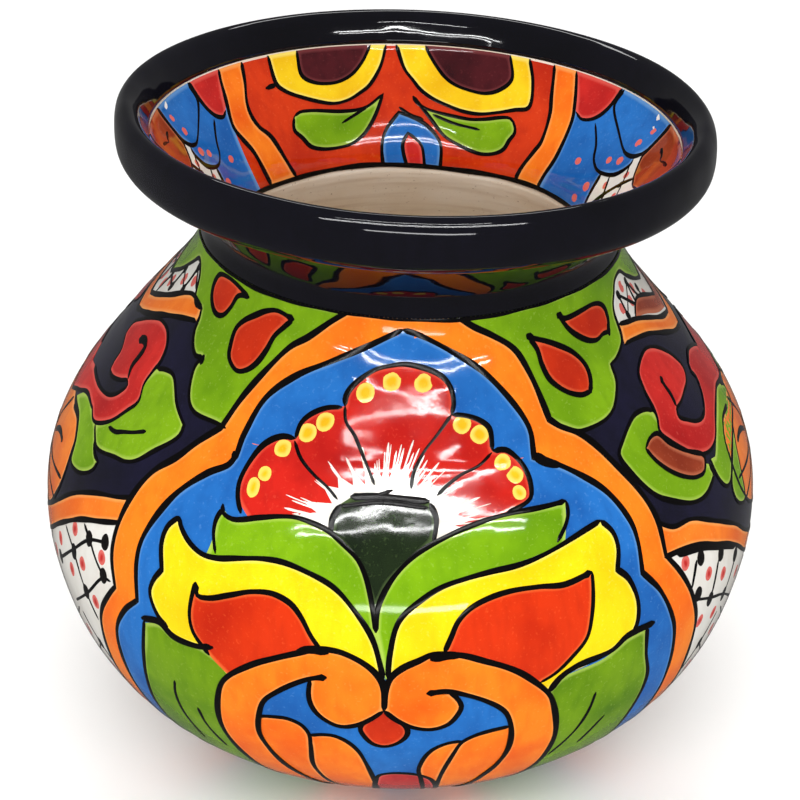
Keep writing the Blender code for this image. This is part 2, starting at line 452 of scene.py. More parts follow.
field("orange border", 4, [(-15.9, -0.5, 1)] + BORDER_LEFT[1:-1] + [(-54.5, FOOT, 1), (54.5, FOOT, 1)]
      + BORDER_RIGHT[-2:0:-1] + [(11.3, -0.5, 1)])
field("blue ground", 5, PANEL_LEFT[:-1] + [(-48, FOOT, 1), (48, FOOT, 1)] + PANEL_RIGHT[-2:0:-1])
for edge_line in (BORDER_LEFT, BORDER_RIGHT):
    line(edge_line, 1.7, start=1.8, level=5)
line(PANEL_LEFT, 1.7, level=6)
line(PANEL_RIGHT, 1.6, level=6)
line([(-30.7, 41.8), (-31.2, 44.6)], 2.2, start=2.8, level=6)
line([(24.9, 40.4), (26.6, 43.2), (29.7, 45.7)], 2.3, start=2.2, level=6)

# The flower: five petals, a burst of dry white rays and a dark calyx
PETAL_TOP = [(-12.3, 24.6, 1), (-12.6, 22), (-11.7, 19), (-7.6, 14.3), (-4.2, 12.9), (-0.6, 12.3),
             (5.8, 14.3), (8.6, 16.8), (9.9, 20), (10.2, 23.6), (9.7, 26.4, 1)]
LEFT_2 = [(-12.8, 25, 1), (-15.9, 25.7), (-18.7, 27.9), (-20.2, 30.7), (-20.4, 35, 1)]
LEFT_3 = [(-20.4, 35, 1), (-22.8, 35), (-25.3, 37), (-27, 40.7), (-28.4, 49.3), (-27.8, 53.6),
          (-26.4, 57.6)]
RIGHT_2 = [(9.7, 26.4, 1), (12.4, 27), (15.2, 28.6), (17.2, 31.4), (17.2, 37.6, 1)]
RIGHT_3 = [(17.2, 37.6, 1), (19.7, 37.9), (21.6, 40.7), (22.7, 44.3), (22.9, 48.6), (22.2, 52),
           (17.4, 54.9)]
SPOKES = [[(-12.3, 24.6), (-11.4, 28.6), (-9.2, 32), (-7.6, 35.7), (-5.9, 40), (-4.4, 45)],
          [(9.7, 26.4), (6.9, 31.4), (4.1, 36.4), (2.4, 41.4), (1.9, 46)],
          [(-20.4, 35.6), (-18.1, 40), (-15.3, 43.6), (-12.6, 46.4), (-10.5, 49.5)],
          [(17, 38), (14.1, 41), (10.8, 42.9), (8, 45.7), (6.3, 48)]]

field("petal red", 6, PETAL_TOP[:-1] + [(9.7, 26.4, 1), (12.4, 27), (15.2, 28.6), (17.2, 31.4),
                                        (17.2, 37.6, 1)] + RIGHT_3[1:]
      + [(8, 62, 1), (-6, 66, 1), (-24, 59.5, 1)] + LEFT_3[-2:0:-1] + [(-20.4, 35, 1)]
      + LEFT_2[-2:0:-1])
for petal in (PETAL_TOP, LEFT_2, LEFT_3, RIGHT_2, RIGHT_3):
    line(petal, 1.5, level=7)
for spoke in SPOKES:
    line(spoke, 1.0, level=7)
for angle, run, across, down in ((-8.7, 20.5, 2.5, 2.7), (-3.4, 17.1, 2.6, 2.6), (3.6, 17.4, 2.6, 2.6),
                                 (-15.5, 29.4, 2.5, 2.6), (-18.3, 32.9, 2.5, 2.6),
                                 (-22.2, 38.1, 2.4, 2.4), (-24.2, 45.7, 2.0, 2.1),
                                 (-25.6, 50, 1.9, 2.8), (11.8, 29.3, 2.5, 2.6), (15.1, 32.7, 2.5, 2.6),
                                 (18.7, 41.1, 2.4, 2.4), (20.5, 45, 2.3, 2.4), (20.5, 49.9, 1.9, 2.1)):
    dot("yellow dots", 7, angle, run, across, down)

RAY_TIPS = [(-20.5, 57.5), (-17.5, 54.6), (-16.4, 51), (-13.4, 46), (-11, 43), (-8.5, 41.5),
            (-6.4, 39.4), (-4.2, 40.2), (-2.6, 37.6), (-0.6, 38), (1.6, 38.6), (3.8, 40.4), (5.6, 43),
            (8.2, 46.2), (8.4, 50), (11.2, 51.4), (12.2, 55), (12, 58)]
CALYX_HEART = (-2.6, 56.0)
rays = []
for k, (angle, run) in enumerate(RAY_TIPS):
    rays.append((angle, run, 1))
    if k < len(RAY_TIPS) - 1:
        after = RAY_TIPS[k + 1]
        inward = 0.17 + 0.06 * (k % 3)
        rays.append(((angle + after[0]) / 2 * (1 - inward) + CALYX_HEART[0] * inward,
                     (run + after[1]) / 2 * (1 - inward) + CALYX_HEART[1] * inward, 1))
field("white rays", 7, rays + [(6, 64, 1), (-3, 66, 1), (-12, 63, 1)], smooth=False)
for angle, run in RAY_TIPS[1:-1]:
    for side in (-0.2, 0.05, 0.25):
        reach = chance.uniform(1.0, 1.28)
        line([(CALYX_HEART[0] + (angle - CALYX_HEART[0]) * s + side * 2 * s,
               CALYX_HEART[1] + (run - CALYX_HEART[1]) * s + side * 4 * s) for s in (0.7, 0.88, reach)],
             chance.uniform(0.3, 0.7), level=7, colour="white rays", relief=0.15)

field("calyx green", 8, [(-8.3, 48.6, 1), (-3, 48.3), (4.9, 49.6, 1), (5.9, 54.3), (5.2, 60, 1),
                         (1.3, 66), (-1.6, 71), (-3.6, 79, 1), (-5.4, 70), (-8, 63), (-11, 58.4, 1),
                         (-10.6, 52)])
line([(-8.4, 48.5), (-3, 48.1), (5, 49.5)], 2.0, start=2.4, end=1.8, level=9)
line([(-10, 51.2), (-3, 49.6), (4.7, 51.2)], 1.4, level=9)
line([(-4.2, 48), (-1.2, 46.2)], 1.2, level=9)
line([(5, 50), (5.9, 54.3), (5.2, 60.5)], 1.6, level=9)
line([(-9.8, 50.7), (-11, 55), (-10.9, 58.8)], 1.7, level=9)

# Green leaves that curl out from the stem, over yellow ones
LEAF_LEFT_TOP = [(-30, 56.4), (-29.5, 58.6), (-27.6, 59.6), (-23.1, 57.5), (-19.8, 56.1), (-17, 55.6),
                 (-14.2, 56.4), (-11.4, 58), (-8.7, 61.4), (-6.4, 65), (-5.1, 69.3), (-4.2, 75),
                 (-3.4, 84)]
LEAF_RIGHT_TOP = [(28.3, 55), (23.6, 55), (19.1, 54.9), (15.2, 55.4), (11.3, 56.8), (8, 58.6),
                  (3.6, 62.1), (1.3, 65), (-1.4, 70.4), (-3.1, 77), (-3.4, 84)]
YELLOW_LEFT_TOP = [(-37, 63.6, 1), (-36.4, 65.4), (-34.2, 68.6), (-31.4, 70.7), (-28.7, 70.7),
                   (-25.3, 69.3), (-21.4, 67.9), (-18.1, 67.7), (-14.8, 68.9), (-9.8, 72.5),
                   (-6.4, 78.6), (-3.9, 85.7), (-2.3, 97.5, 1)]
YELLOW_RIGHT_TOP = [(33.3, 62.9, 1), (30.2, 63.9), (21.9, 67.5), (18, 68.7), (13.6, 69.3), (9.7, 70.4),
                    (6.3, 72), (3.6, 74.6), (-0.1, 80.7), (-1.4, 90), (-1.7, 97.5, 1)]
field("leaf green", 9, [(-29.7, 57.6, 1)] + LEAF_LEFT_TOP[2:-1]
      + [(-3.4, 84, 1), (-2.6, 92), (-2.1, 98, 1)] + [(-5, 90), (-7, 80), (-12, 73.5), (-18, 70.5),
                                                      (-25.3, 72), (-30.6, 72, 1), (-30, 66),
                                                      (-30.3, 60.7)])
field("leaf green", 9, [(28.1, 55.2, 1)] + LEAF_RIGHT_TOP[1:-1]
      + [(-3.4, 84, 1), (-2.6, 92), (-2.0, 98, 1)] + [(0.6, 88), (3, 78), (8, 73.5), (14, 72),
                                                      (22, 70.5), (26, 66.5, 1), (27.2, 60.7)])
LEAF_LEFT_END = [(-29.7, 57.6), (-30.3, 60.7), (-30.1, 64.3), (-28.9, 69.6)]
LEAF_RIGHT_END = [(28.3, 55), (28.1, 57.9), (27.2, 60.7), (24.9, 65)]
line(LEAF_LEFT_TOP, 1.5, start=1.5, level=10)
line(LEAF_RIGHT_TOP, 1.5, start=1.8, level=10)
line(LEAF_LEFT_END, 1.3, level=10)
line(LEAF_RIGHT_END, 1.3, level=10)

YELLOW_LEFT_SIDE = [(-37, 63.6, 1), (-38.6, 67.3), (-38.8, 72), (-37.6, 79, 1), (-38.9, 83),
                    (-39.3, 87), (-37.6, 92.6), (-35.6, 95)]
YELLOW_RIGHT_SIDE = [(33.3, 62.9, 1), (34.9, 67), (35.1, 71.4), (34.1, 77, 1), (35.8, 80.7), (37, 88),
                     (36.8, 94), (36, 97)]
field("lower leaf green", 6, [(-40.5, 97.3, 1), (-37.3, 95.4), (-34.7, 97.4), (-30, 97.5),
                              (-24, 103, 1), (-26, 120), (-26, 150), (-22, 175), (-20, FOOT, 1),
                              (-44, FOOT, 1), (-44.6, 165), (-44.4, 133), (-42.3, 113), (-40.7, 102.7)])
field("lower leaf green", 6, [(22, 108, 1), (24.3, 104.2), (31, 102), (35.3, 98.4), (38.6, 98, 1),
                              (39.3, 106.7), (41, 117), (40.8, 132), (42.4, 165), (43.5, FOOT, 1),
                              (18, FOOT, 1), (20, 170), (23, 140), (23.5, 122)])
field("yellow leaf", 10, YELLOW_LEFT_TOP + [(-8, 92, 1), (-25, 105, 1), (-28.5, 98, 1), (-30, 97.5),
                                            (-34.7, 97.4), (-36, 95.5, 1)] + YELLOW_LEFT_SIDE[-2:0:-1])
field("yellow leaf", 10, YELLOW_RIGHT_TOP + [(4, 92, 1), (21.5, 108.5, 1), (24, 104), (30, 101.5),
                                             (34.7, 98.2), (36.2, 96.5, 1)]
      + YELLOW_RIGHT_SIDE[-2:0:-1])
line(YELLOW_LEFT_TOP, 1.6, start=1.8, level=11)
line(YELLOW_RIGHT_TOP, 1.6, start=1.6, level=11)
line(YELLOW_LEFT_SIDE, 1.6, level=11)
line(YELLOW_RIGHT_SIDE, 1.6, level=11)
line([(-41, 96.2), (-37.3, 94.6), (-34.7, 97.2), (-30, 97.3), (-27.6, 96)], 2.2, start=2.2, end=1.4,
     level=11)
line([(40.3, 97), (34.9, 97.3), (32.3, 100), (26, 101.6), (23.6, 104), (22, 108.4)], 2.2, start=2.4,
     level=11)
line([(-40.5, 96.6), (-41.7, 108.7), (-43, 120), (-44.4, 135), (-44.8, 165), (-44, FOOT)], 1.5, level=7)
line([(38.8, 97.5), (39.3, 106.7), (41, 117), (40.6, 132), (42.4, 165), (43.5, FOOT)], 1.5, level=7)
for vein in ([(-36, 114.2), (-36.7, 120), (-36.7, 128), (-35.6, 142)],
             [(-32.7, 122.5), (-32.3, 130), (-30.6, 141)],
             [(30.5, 114.2), (30, 121), (28.7, 129), (25.6, 141)],
             [(33.9, 127), (32.7, 131), (30.9, 139)],
             [(-40, 150), (-37, 168), (-32, 188)], [(38, 150), (35, 168), (30, 188)]):
    line(vein, 1.1, start=1.3, level=7)

# Red-orange leaf hearts
HEART_LEFT = [(-31.2, 78.6, 1), (-30.6, 82), (-28.7, 81.8), (-25.3, 79.3), (-22, 77), (-18.7, 76.4),
              (-15.9, 78.2), (-14.2, 81.4), (-12.6, 86.4), (-11.2, 90, 1)]
HEART_LEFT_SIDE = [(-31.2, 78.6, 1), (-31.6, 84), (-31.7, 88.7), (-31, 93.3), (-28.3, 99),
                   (-25, 104.5, 1)]
HEART_RIGHT = [(29.6, 75.2, 1), (24.7, 76.4), (20.8, 75.4), (16.3, 75.1), (13, 76.1), (10.2, 78.2),
               (8.3, 81.4), (7.2, 85.7), (6.2, 90, 1)]
HEART_RIGHT_SIDE = [(29.6, 75.2, 1), (29.3, 80), (28.7, 86.7), (27.7, 93.3), (25.3, 98), (22.7, 102),
                    (20.4, 104, 1)]
field("red-orange heart", 11, HEART_LEFT[:-1] + [(-11, 92, 1), (-23, 106, 1), (-25, 104.5, 1)]
      + HEART_LEFT_SIDE[-2:0:-1])
field("red-orange heart", 11, HEART_RIGHT[:-1] + [(6, 92, 1), (19, 105, 1), (20.4, 104, 1)]
      + HEART_RIGHT_SIDE[-2:0:-1])
for edge_line in (HEART_LEFT, HEART_RIGHT):
    line(edge_line, 1.6, start=2.2, level=12)
line(HEART_LEFT_SIDE[:5], 1.4, level=12)
line([(-30.8, 94), (-29.6, 96.3), (-28.2, 95.6)], 1.2, level=12)
line(HEART_RIGHT_SIDE, 1.3, level=12)

# Scrolls: an outer line, a curled end, and an inner line that starts in a hook
SCROLL_LEFT = [(-2.3, 108.6, 1), (-2.2, 101.3), (-2.7, 98), (-4, 94.7), (-6, 92), (-8.7, 90),
               (-11.7, 89.9), (-14.7, 92), (-18, 94.7), (-21.3, 98), (-25.3, 104), (-27, 108.7),
               (-28.6, 121), (-28.6, 130), (-27, 144), (-24.4, 160), (-22, 178), (-20.5, FOOT)]
HOOK_LEFT = [(-10.3, 98.2), (-12.7, 99.3), (-15.3, 102), (-18, 106), (-20, 110), (-21, 114.7),
             (-21.9, 124), (-21.3, 131), (-19.7, 141), (-17, 152), (-14.5, 172), (-13, FOOT)]
CURL_LEFT = [(-12.7, 99.6), (-13, 103), (-13, 106.7), (-12.3, 110.7), (-10.7, 114), (-8.7, 115.7),
             (-6.3, 114.7), (-4.2, 112), (-2.3, 108.6)]
SCROLL_RIGHT = [(-2.3, 108.6, 1), (-1.9, 101), (-1.3, 97.3), (0.3, 94.3), (2.7, 92), (4.7, 90.3),
                (8.7, 91.2), (12, 93.7), (15.3, 96.7), (18, 100.3), (22, 108.7), (23.2, 114),
                (24.6, 126), (24.7, 136), (24.2, 145), (22.4, 160), (20.6, 178), (19.5, FOOT)]
HOOK_RIGHT = [(3.7, 102.6), (6.7, 102.3), (9.3, 104), (12, 106.7), (14.3, 110), (15.7, 113.3),
              (16.8, 120), (17, 129), (16, 138), (14, 148), (11.6, 170), (11, FOOT)]
CURL_RIGHT = [(6.9, 102.5), (8, 104.7), (8.8, 108), (8.3, 111.3), (7, 114.7), (4.7, 116.3), (2, 115.3),
              (-0.4, 112.4), (-2.3, 108.6)]
for outer, curl, hook, blob in ((SCROLL_LEFT, CURL_LEFT, HOOK_LEFT, (-12.2, 90.2)),
                                (SCROLL_RIGHT, CURL_RIGHT, HOOK_RIGHT, (6.6, 90.9))):
    field("scroll orange", 12, outer[:-1] + [outer[-1] + (1,), hook[-1] + (1,)] + hook[-2:1:-1]
          + [hook[1] + (1,)] + curl[:-1])
    line(outer, 1.9, level=13)
    line(hook, 1.7, start=2.5, level=13)
    line(curl, 1.6, level=13)
    line([(blob[0] - 2.4, blob[1] + 0.9), blob, (blob[0] + 2.2, blob[1] + 0.4)], 2.7, level=13)

# Below: a red drop, four orange petals and a rose-red one that runs under the belly
field("red drop", 6, [(-2.3, 107.6, 1), (-4.7, 112.3), (-5.8, 116), (-5.3, 119.3), (-4, 122.7),
                      (-2.3, 123.7), (-0.3, 122), (1, 118.7), (1, 115.4), (-0.3, 112.2)])
line([(-4.4, 111.6), (-5.8, 116), (-5.3, 119.3), (-4, 122.7), (-2.3, 123.7), (-0.3, 122), (1, 118.7),
      (1, 115.6), (-0.2, 112.4)], 1.5, level=7)
PETALS_BELOW = [
    ([(-22, 118.4), (-20.9, 117), (-18.7, 116), (-16.7, 115.7), (-14.7, 117.3), (-13.7, 120.6)],
     [(-13.7, 120.6), (-13.7, 126), (-14.2, 137), (-13.7, 145), (-12, 160), (-9.5, 180), (-8.6, FOOT)],
     [(-17, FOOT, 1), (-18, 170), (-20.6, 145), (-22.6, 124)]),
    ([(-13.7, 121.5), (-11.7, 120.3), (-9.7, 120.3), (-7.7, 122.7), (-6.3, 126.7)],
     [(-6.3, 126.7), (-5.5, 132), (-4.6, 142), (-4.3, 155), (-4.6, 175), (-4.8, FOOT)],
     [(-8.6, FOOT, 1), (-9.5, 180), (-12, 160), (-13.7, 145), (-14.2, 137), (-13.7, 126)]),
    ([(16.6, 119), (13.3, 119.7), (11, 121), (9.3, 123.3)],
     [(9.3, 123.3), (8.3, 128), (7, 138.7), (6.6, 150), (7.6, 172), (8, FOOT)],
     [(14, FOOT, 1), (14, 170), (16, 146), (17.6, 130)]),
    ([(9.4, 122.6), (7.3, 123), (5.3, 125), (4.1, 128)],
     [(4.1, 128), (3.3, 132.7), (3, 137.3), (3.6, 145), (4.6, 165), (4.6, FOOT)],
     [(8, FOOT, 1), (7.6, 172), (6.6, 150), (7, 138.7), (8.3, 128)])]
for top, side, back in PETALS_BELOW:
    field("scroll orange", 6, top[:-1] + side[:-1] + [side[-1] + (1,)] + back)
    line(top + side[1:], 1.4, start=1.6, level=8)
field("rose-red petal", 7, [(-1, 139.3), (2, 140), (4.3, 142.7), (5.7, 147), (7, 165), (6, 182),
                            (1, 192), (-4, 182), (-5, 165), (-4.2, 146.7), (-3.3, 141)])
line([(0.8, 192), (-4, 182), (-5, 165), (-4.2, 146.7), (-3.3, 141), (-1, 139.3), (2, 140), (4.3, 142.7),
      (5.7, 147), (7, 165), (6, 182), (1.2, 192)], 1.5, level=8)

# ---------------------------------------------------------------------------------------------
# The shoulders: green corners with red drops, and the orange band below a lattice
# ---------------------------------------------------------------------------------------------

CORNER_LEFT = [(-90, 18), (-87.5, 16), (-82.9, 12.7), (-78.4, 8), (-73.8, 4.7), (-69.7, 7.3),
               (-65.2, 12.7), (-62.9, 13.7), (-60.2, 13.3, 1), (-58.8, 15.3), (-57.5, 18.7),
               (-54.7, 22), (-52, 23.7), (-49.7, 23, 1), (-50.2, 26), (-47.9, 32), (-46.1, 34.7),
               (-43.8, 36.3), (-37.5, 36.6), (-35, 37, 1)]
CORNER_RIGHT = [(90, 17), (84, 13.4), (78, 8.6), (73, 4.6), (68, 5.3), (65.3, 8), (63, 10),
                (61.4, 12.7), (60.7, 16), (59.8, 19.3), (58.5, 21.3), (53.5, 24.3), (51.2, 24.7, 1),
                (50.3, 30), (48.5, 33.3), (46.2, 36.3), (43.5, 38), (37.1, 38.5), (35.3, 38),
                (32.5, 35.3), (29.6, 32.4, 1)]
field("corner green", 2, CORNER_LEFT + [(-31, 30, 1), (-26, 12), (-13, -0.5, 1), (-90, -0.5, 1),
                                        (-90, 10, 1)])
field("corner green", 2, CORNER_RIGHT + [(26, 18, 1), (20, 8), (9, -0.5, 1), (90, -0.5, 1), (90, 9, 1)])
line(CORNER_LEFT, 1.5, level=4)
line(CORNER_RIGHT, 1.5, level=4)
line([(-49.7, 22.4), (-49.2, 25)], 2.0, level=4)
DROPS = [[(-30.4, 5, 1), (-35.2, 4), (-38.4, 5), (-41.5, 7.3), (-44.3, 10), (-45.4, 12.7),
          (-44.5, 16.7), (-42.9, 20), (-39.3, 22.3), (-37, 21.3), (-35.4, 18.7), (-34.5, 14.7),
          (-34, 10.7), (-32.5, 8)],
         [(-45.2, 3.7, 1), (-51.1, 2), (-55.6, 1.7), (-59.3, 2.7), (-60.6, 6), (-59.3, 8.7),
          (-56.5, 11), (-53.8, 12), (-51.5, 11.3), (-50.2, 8), (-49.7, 5.3), (-47.9, 4)],
         [(30.4, 8.4, 1), (35.3, 11), (38.5, 13.3), (41.6, 16.3), (43.5, 20), (43.9, 23.3),
          (43.2, 26.7), (42.1, 29, 1), (39.8, 29), (37.1, 27.3), (34.8, 24.7), (33, 21.3), (32.2, 16.6),
          (32, 12.6)],
         [(40.6, 5, 1), (42.1, 6.3), (49.4, 6.3), (53.5, 6.3), (56.6, 7.3), (58.2, 9.3), (57.8, 12.7),
          (55.9, 16.2, 1), (53.5, 15.7), (50.7, 16.3), (47.5, 15), (43, 10)]]
for drop in DROPS:
    field("red drop", 4, drop)
    line(drop + [drop[0]], 1.5, level=5)
for tick in ([(-30, 5), (-33, 4.4)], [(29.8, 7.4), (32, 9.8)], [(40, 4.2), (42, 6.2)],
             [(42.1, 29.5), (43, 26.6)],
             [(55.6, 17.4), (56.6, 13.8)]):
    line(tick, 1.7, start=2.3, level=5)

BAND_LEFT = [(-59.6, 13.4), (-66.5, 12.4), (-70.2, 13.7), (-77.5, 18.7), (-85.2, 23.7), (-90, 26.4)]
BAND_LEFT_LOW = [(-59.2, 16.7), (-62.9, 18), (-70.2, 21.3), (-79.3, 26.7), (-83.8, 29.3), (-90, 32.4)]
BAND_RIGHT = [(61.2, 16.4), (65.3, 18), (68.9, 19.3), (73.5, 22), (82.5, 28.7), (90, 32.6)]
BAND_RIGHT_LOW = [(59.2, 22.4), (62.5, 23), (70.3, 26), (79.4, 32.7), (83.9, 36), (90, 39)]
for high, low in ((BAND_LEFT, BAND_LEFT_LOW), (BAND_RIGHT, BAND_RIGHT_LOW)):
    field("orange band", 3, strip_between(high, low))
    line(high, 1.7, level=4)
    line(low, 1.6, level=4)
field("lattice white", 1, [(-58, 12, 1), (-58, 15, 1), (-66.5, 14, 1), (-78, 21, 1), (-90, 28, 1),
                           (-90, 12, 1), (-74, 3, 1)], smooth=False)
field("lattice white", 1, [(59, 14, 1), (60, 18, 1), (70, 21, 1), (82, 30, 1), (90, 34, 1), (90, 12, 1),
                           (72, 3, 1)], smooth=False)
for angle, run in ((-76.5, 12.6), (-83.4, 17.2), (-70.6, 9.8), (-87.6, 21), (66, 13.8), (72.4, 14.6),
                   (77.5, 13.0), (83.6, 19.4), (87.4, 24.6), (71, 8.6)):
    dot("lattice red", 2, angle, run, 1.5, 2.0)
for knot in ((-73.4, 14.2), (-80.6, 17.6), (-72.4, 6.6), (-80, 11), (-86.6, 17.0), (67.3, 9.6),
             (67.0, 16.6), (74.4, 17.6), (75.6, 9.4), (81, 15), (80, 23)):
    dot("black line", 3, *knot, 1.3, 1.6)
for web in ([(-72.4, 6.6), (-73.4, 14.2)], [(-80, 11), (-80.6, 17.6)], [(-67.5, 11), (-72.4, 6.6)],
            [(-73.4, 14.2), (-80, 11)], [(-80.6, 17.6), (-86.6, 17)], [(-86.6, 17), (-87, 24)],
            [(67.3, 9.6), (67, 16.6)], [(75.6, 9.4), (74.4, 17.6)], [(81, 15), (80, 23)],
            [(67.3, 9.6), (74.4, 17.6)], [(75.6, 9.4), (80, 23)], [(67, 16.6), (75.6, 9.4)]):
    line(web, 1.2, level=2)
field("brown petal", 4, [(69.5, 19.2, 1), (72, 17.3), (75.7, 16), (80, 17.5), (85, 21), (90, 25, 1),
                         (90, 31, 1), (82, 26.6), (75, 21.6)])
line([(69.5, 19.2), (72, 17.3), (75.7, 16), (80, 17.5), (85, 21), (90, 25)], 1.4, level=5)

# ---------------------------------------------------------------------------------------------
# The sides: a dark ground with a rose, its leaves and an orange flower
# ---------------------------------------------------------------------------------------------

LEAF_1 = [(-60.8, 34), (-60.2, 32.7), (-57.5, 31.3), (-54.3, 31.3), (-49.3, 36.3), (-44.5, 40.7, 1),
          (-44.3, 43.7), (-48.4, 51.3), (-51.1, 56), (-53.4, 58), (-56.5, 59), (-62.9, 61),
          (-65.2, 59.3), (-67.5, 57.3, 1), (-64, 52)]
LEAF_2 = [(-67.5, 57.3, 1), (-64.7, 60), (-62.5, 62.7), (-60.2, 63.7, 1), (-60.6, 66.7), (-64.7, 71),
          (-68.8, 71), (-70.6, 66), (-74.7, 62), (-82.9, 62, 1), (-79.3, 57), (-75.6, 55.3)]
ROSE_LEFT = [(-82.4, 36.2), (-83.6, 33.8), (-80.2, 29.5), (-76, 26), (-71, 23.8), (-66, 24.2),
             (-62.5, 26.8), (-60.9, 30.5), (-61, 34), (-60.6, 38.5), (-59.2, 42.5), (-60.8, 47),
             (-64, 53.5), (-68.8, 57.2), (-72, 55.8, 1), (-78, 56), (-84, 60.6), (-90, 66, 1),
             (-90, 54.5, 1), (-85, 52.2), (-78.8, 51.4), (-73.5, 50.4), (-69.2, 48.5), (-66.6, 45.2),
             (-65.8, 42), (-67, 41.4), (-69.5, 43.2), (-73.5, 45.2), (-76.2, 45), (-77.4, 42.6),
             (-78.4, 38.6)]
field("corner green", 1, LEAF_1)
field("corner green", 1, LEAF_2)
field("rose red", 2, ROSE_LEFT)
line([(-74.2, 32.4), (-71.5, 30.9), (-69.6, 31.6), (-68.9, 35), (-68.6, 38.2), (-67, 41)], 2.4,
     start=2.8, level=4)
line(ROSE_LEFT[19:] + ROSE_LEFT[:18], 1.3, level=3)
line(LEAF_1[1:14], 1.4, level=2)
line([(-52.5, 47.7), (-55.6, 50.3), (-58.4, 52.3), (-60.2, 53.7), (-62.9, 54.3)], 1.4, start=1.6,
     level=2)
line(LEAF_2[1:10], 1.4, start=1.4, level=2)

FLOWER = [(-90, 62), (-80.6, 63), (-74.6, 62.6), (-71.1, 66), (-70, 70), (-69.4, 74.7), (-69.7, 80),
          (-70.9, 84), (-74, 90), (-79, 95), (-84, 98), (-90, 99.6)]
for side in (-1, 1):
    shape = [(-side * a, r) for a, r in FLOWER]
    field("flower orange", 1, ends_sharp(shape))
    line(shape[1:], 1.5, level=2)
    line([(side * 76.3, 72), (side * 79.3, 72), (side * 82, 73.3), (side * 85.5, 77)], 2.0, start=2.2,
         level=2)
    for tip in ((71.6, 87), (77.5, 94), (85.4, 98.6), (70.2, 78.5), (83.6, 63.2)):
        line([(side * tip[0], tip[1]), (side * (tip[0] * 0.45 + 49.5), tip[1] * 0.45 + 45.4),
              (side * 87.4, 81.6 + (tip[1] - 81.6) * 0.2)], 1.3, start=1.5, level=2)
    field("yellow dots", 3, [(side * 90, 76.4, 1), (side * 87.4, 77.6), (side * 86.2, 82),
                             (side * 87.4, 86.4), (side * 90, 87.6, 1)])
    line([(side * 90, 76.4), (side * 87.4, 77.6), (side * 86.2, 82), (side * 87.4, 86.4),
          (side * 90, 87.6)], 1.3, level=4)

ROSE_RIGHT = [(58, 32), (60.8, 29.5), (64.8, 28.2), (68.5, 29.8), (71.5, 33.2), (73.6, 37.5),
              (74.0, 41), (73, 43.5), (71.3, 45.2), (68, 46.2), (65, 47.2), (62.2, 47.8), (61.5, 49.5),
              (63.2, 52.2), (65.8, 54.8), (68.8, 55.5), (71.8, 53.8), (74.5, 51), (76.2, 48),
              (76, 45.5), (77.2, 43.4, 1), (81, 42.2), (86.5, 44.8), (90, 48.2, 1), (90, 60.5, 1),
              (86, 59), (81.2, 57), (73.2, 59), (67.5, 63), (64.2, 63.5), (60.8, 61.8), (57.8, 58),
              (55.5, 53.2), (54.2, 48.8), (55.5, 45.8), (56.2, 40.8), (56.8, 36.2)]
CURVED_LEAF = [(55.3, 43.3, 1), (54.4, 42), (52.1, 41), (49.4, 41.3), (44.4, 45.7), (42.3, 48.4),
               (43, 54.7), (45.7, 62.7), (48, 66), (53.5, 71), (57.1, 72), (59.8, 71), (61.9, 69.3),
               (61.9, 66, 1), (57, 60), (56, 48)]
BROWN_PETAL = [(48.6, 50.7), (50.7, 49), (53.2, 49), (54.8, 53.3), (57.1, 57.3), (61.6, 63.5, 1),
               (59.8, 66.3), (57.1, 66), (53.9, 63.3), (51.2, 59.3), (49.3, 54.5)]
field("corner green", 1, CURVED_LEAF)
SIDE_LEAF = [(81.5, 57.2), (85, 59), (87, 62.2), (85, 65.8), (78, 67.5), (71, 71.2), (66.5, 75.8),
             (64.5, 75.5), (63, 71.8), (62.8, 67), (63, 65.5, 1), (65, 66.2, 1), (71.2, 61)]
SIDE_LEAF_TIP = [(78, 67.5), (74.8, 71.5), (72.5, 77.8), (71.2, 86), (69, 85.5), (66.5, 81.2),
                 (66.8, 76.8), (73.2, 70)]
field("corner green", 1, SIDE_LEAF)
field("corner green", 2, SIDE_LEAF_TIP)
field("rose red", 2, ROSE_RIGHT)
field("brown petal", 3, BROWN_PETAL)
line([(63.8, 37.4), (63.2, 40.5), (63.2, 43.8), (62.8, 47)], 1.7, start=2.6, level=3)
line(ROSE_RIGHT[24:] + ROSE_RIGHT[:24], 1.3, level=4)
line([p[:2] for p in BROWN_PETAL] + [BROWN_PETAL[0][:2]], 1.2, level=4)
line(CURVED_LEAF[:14], 1.4, level=2)
line(SIDE_LEAF[1:11], 1.4, level=3)
line(SIDE_LEAF_TIP + [SIDE_LEAF_TIP[0]], 1.3, level=3)

BELT_LEFT = [(-48.2, 65.3), (-51, 67.3), (-57.5, 71.3), (-63.8, 77.3), (-69.3, 84.8), (-76, 93),
             (-83, 100), (-90, 103)]
BELT_LEFT_LOW = [(-48.4, 73), (-52.5, 76), (-59, 81), (-66.5, 89.5), (-74, 99), (-82, 107),
                 (-90, 110.5)]
BELT_RIGHT = [(43.8, 69.6), (47.1, 73.4), (51.6, 74.6), (57.1, 79.7), (64.4, 87.7), (70.7, 96.3),
              (80, 104.5), (90, 107)]
BELT_RIGHT_LOW = [(43.5, 79.7), (50.3, 81.5), (57.1, 87), (63.9, 94), (71, 103.5), (80, 112),
                  (90, 114.5)]
for high, low, side in ((BELT_LEFT, BELT_LEFT_LOW, -1), (BELT_RIGHT, BELT_RIGHT_LOW, 1)):
    field("orange band", 3, strip_between(high, low))
    line(high, 1.6, level=4)
    line(low, 1.9, level=4)
    field("lattice white", 1, [(side * 43, low[0][1] - 2, 1)] + [(a, r - 3, 1) for a, r in low[1:]]
          + [(side * 90, FOOT, 1), (side * 51, FOOT, 1), (side * 50, 130, 1), (side * 44, 92, 1)],
          smooth=False)

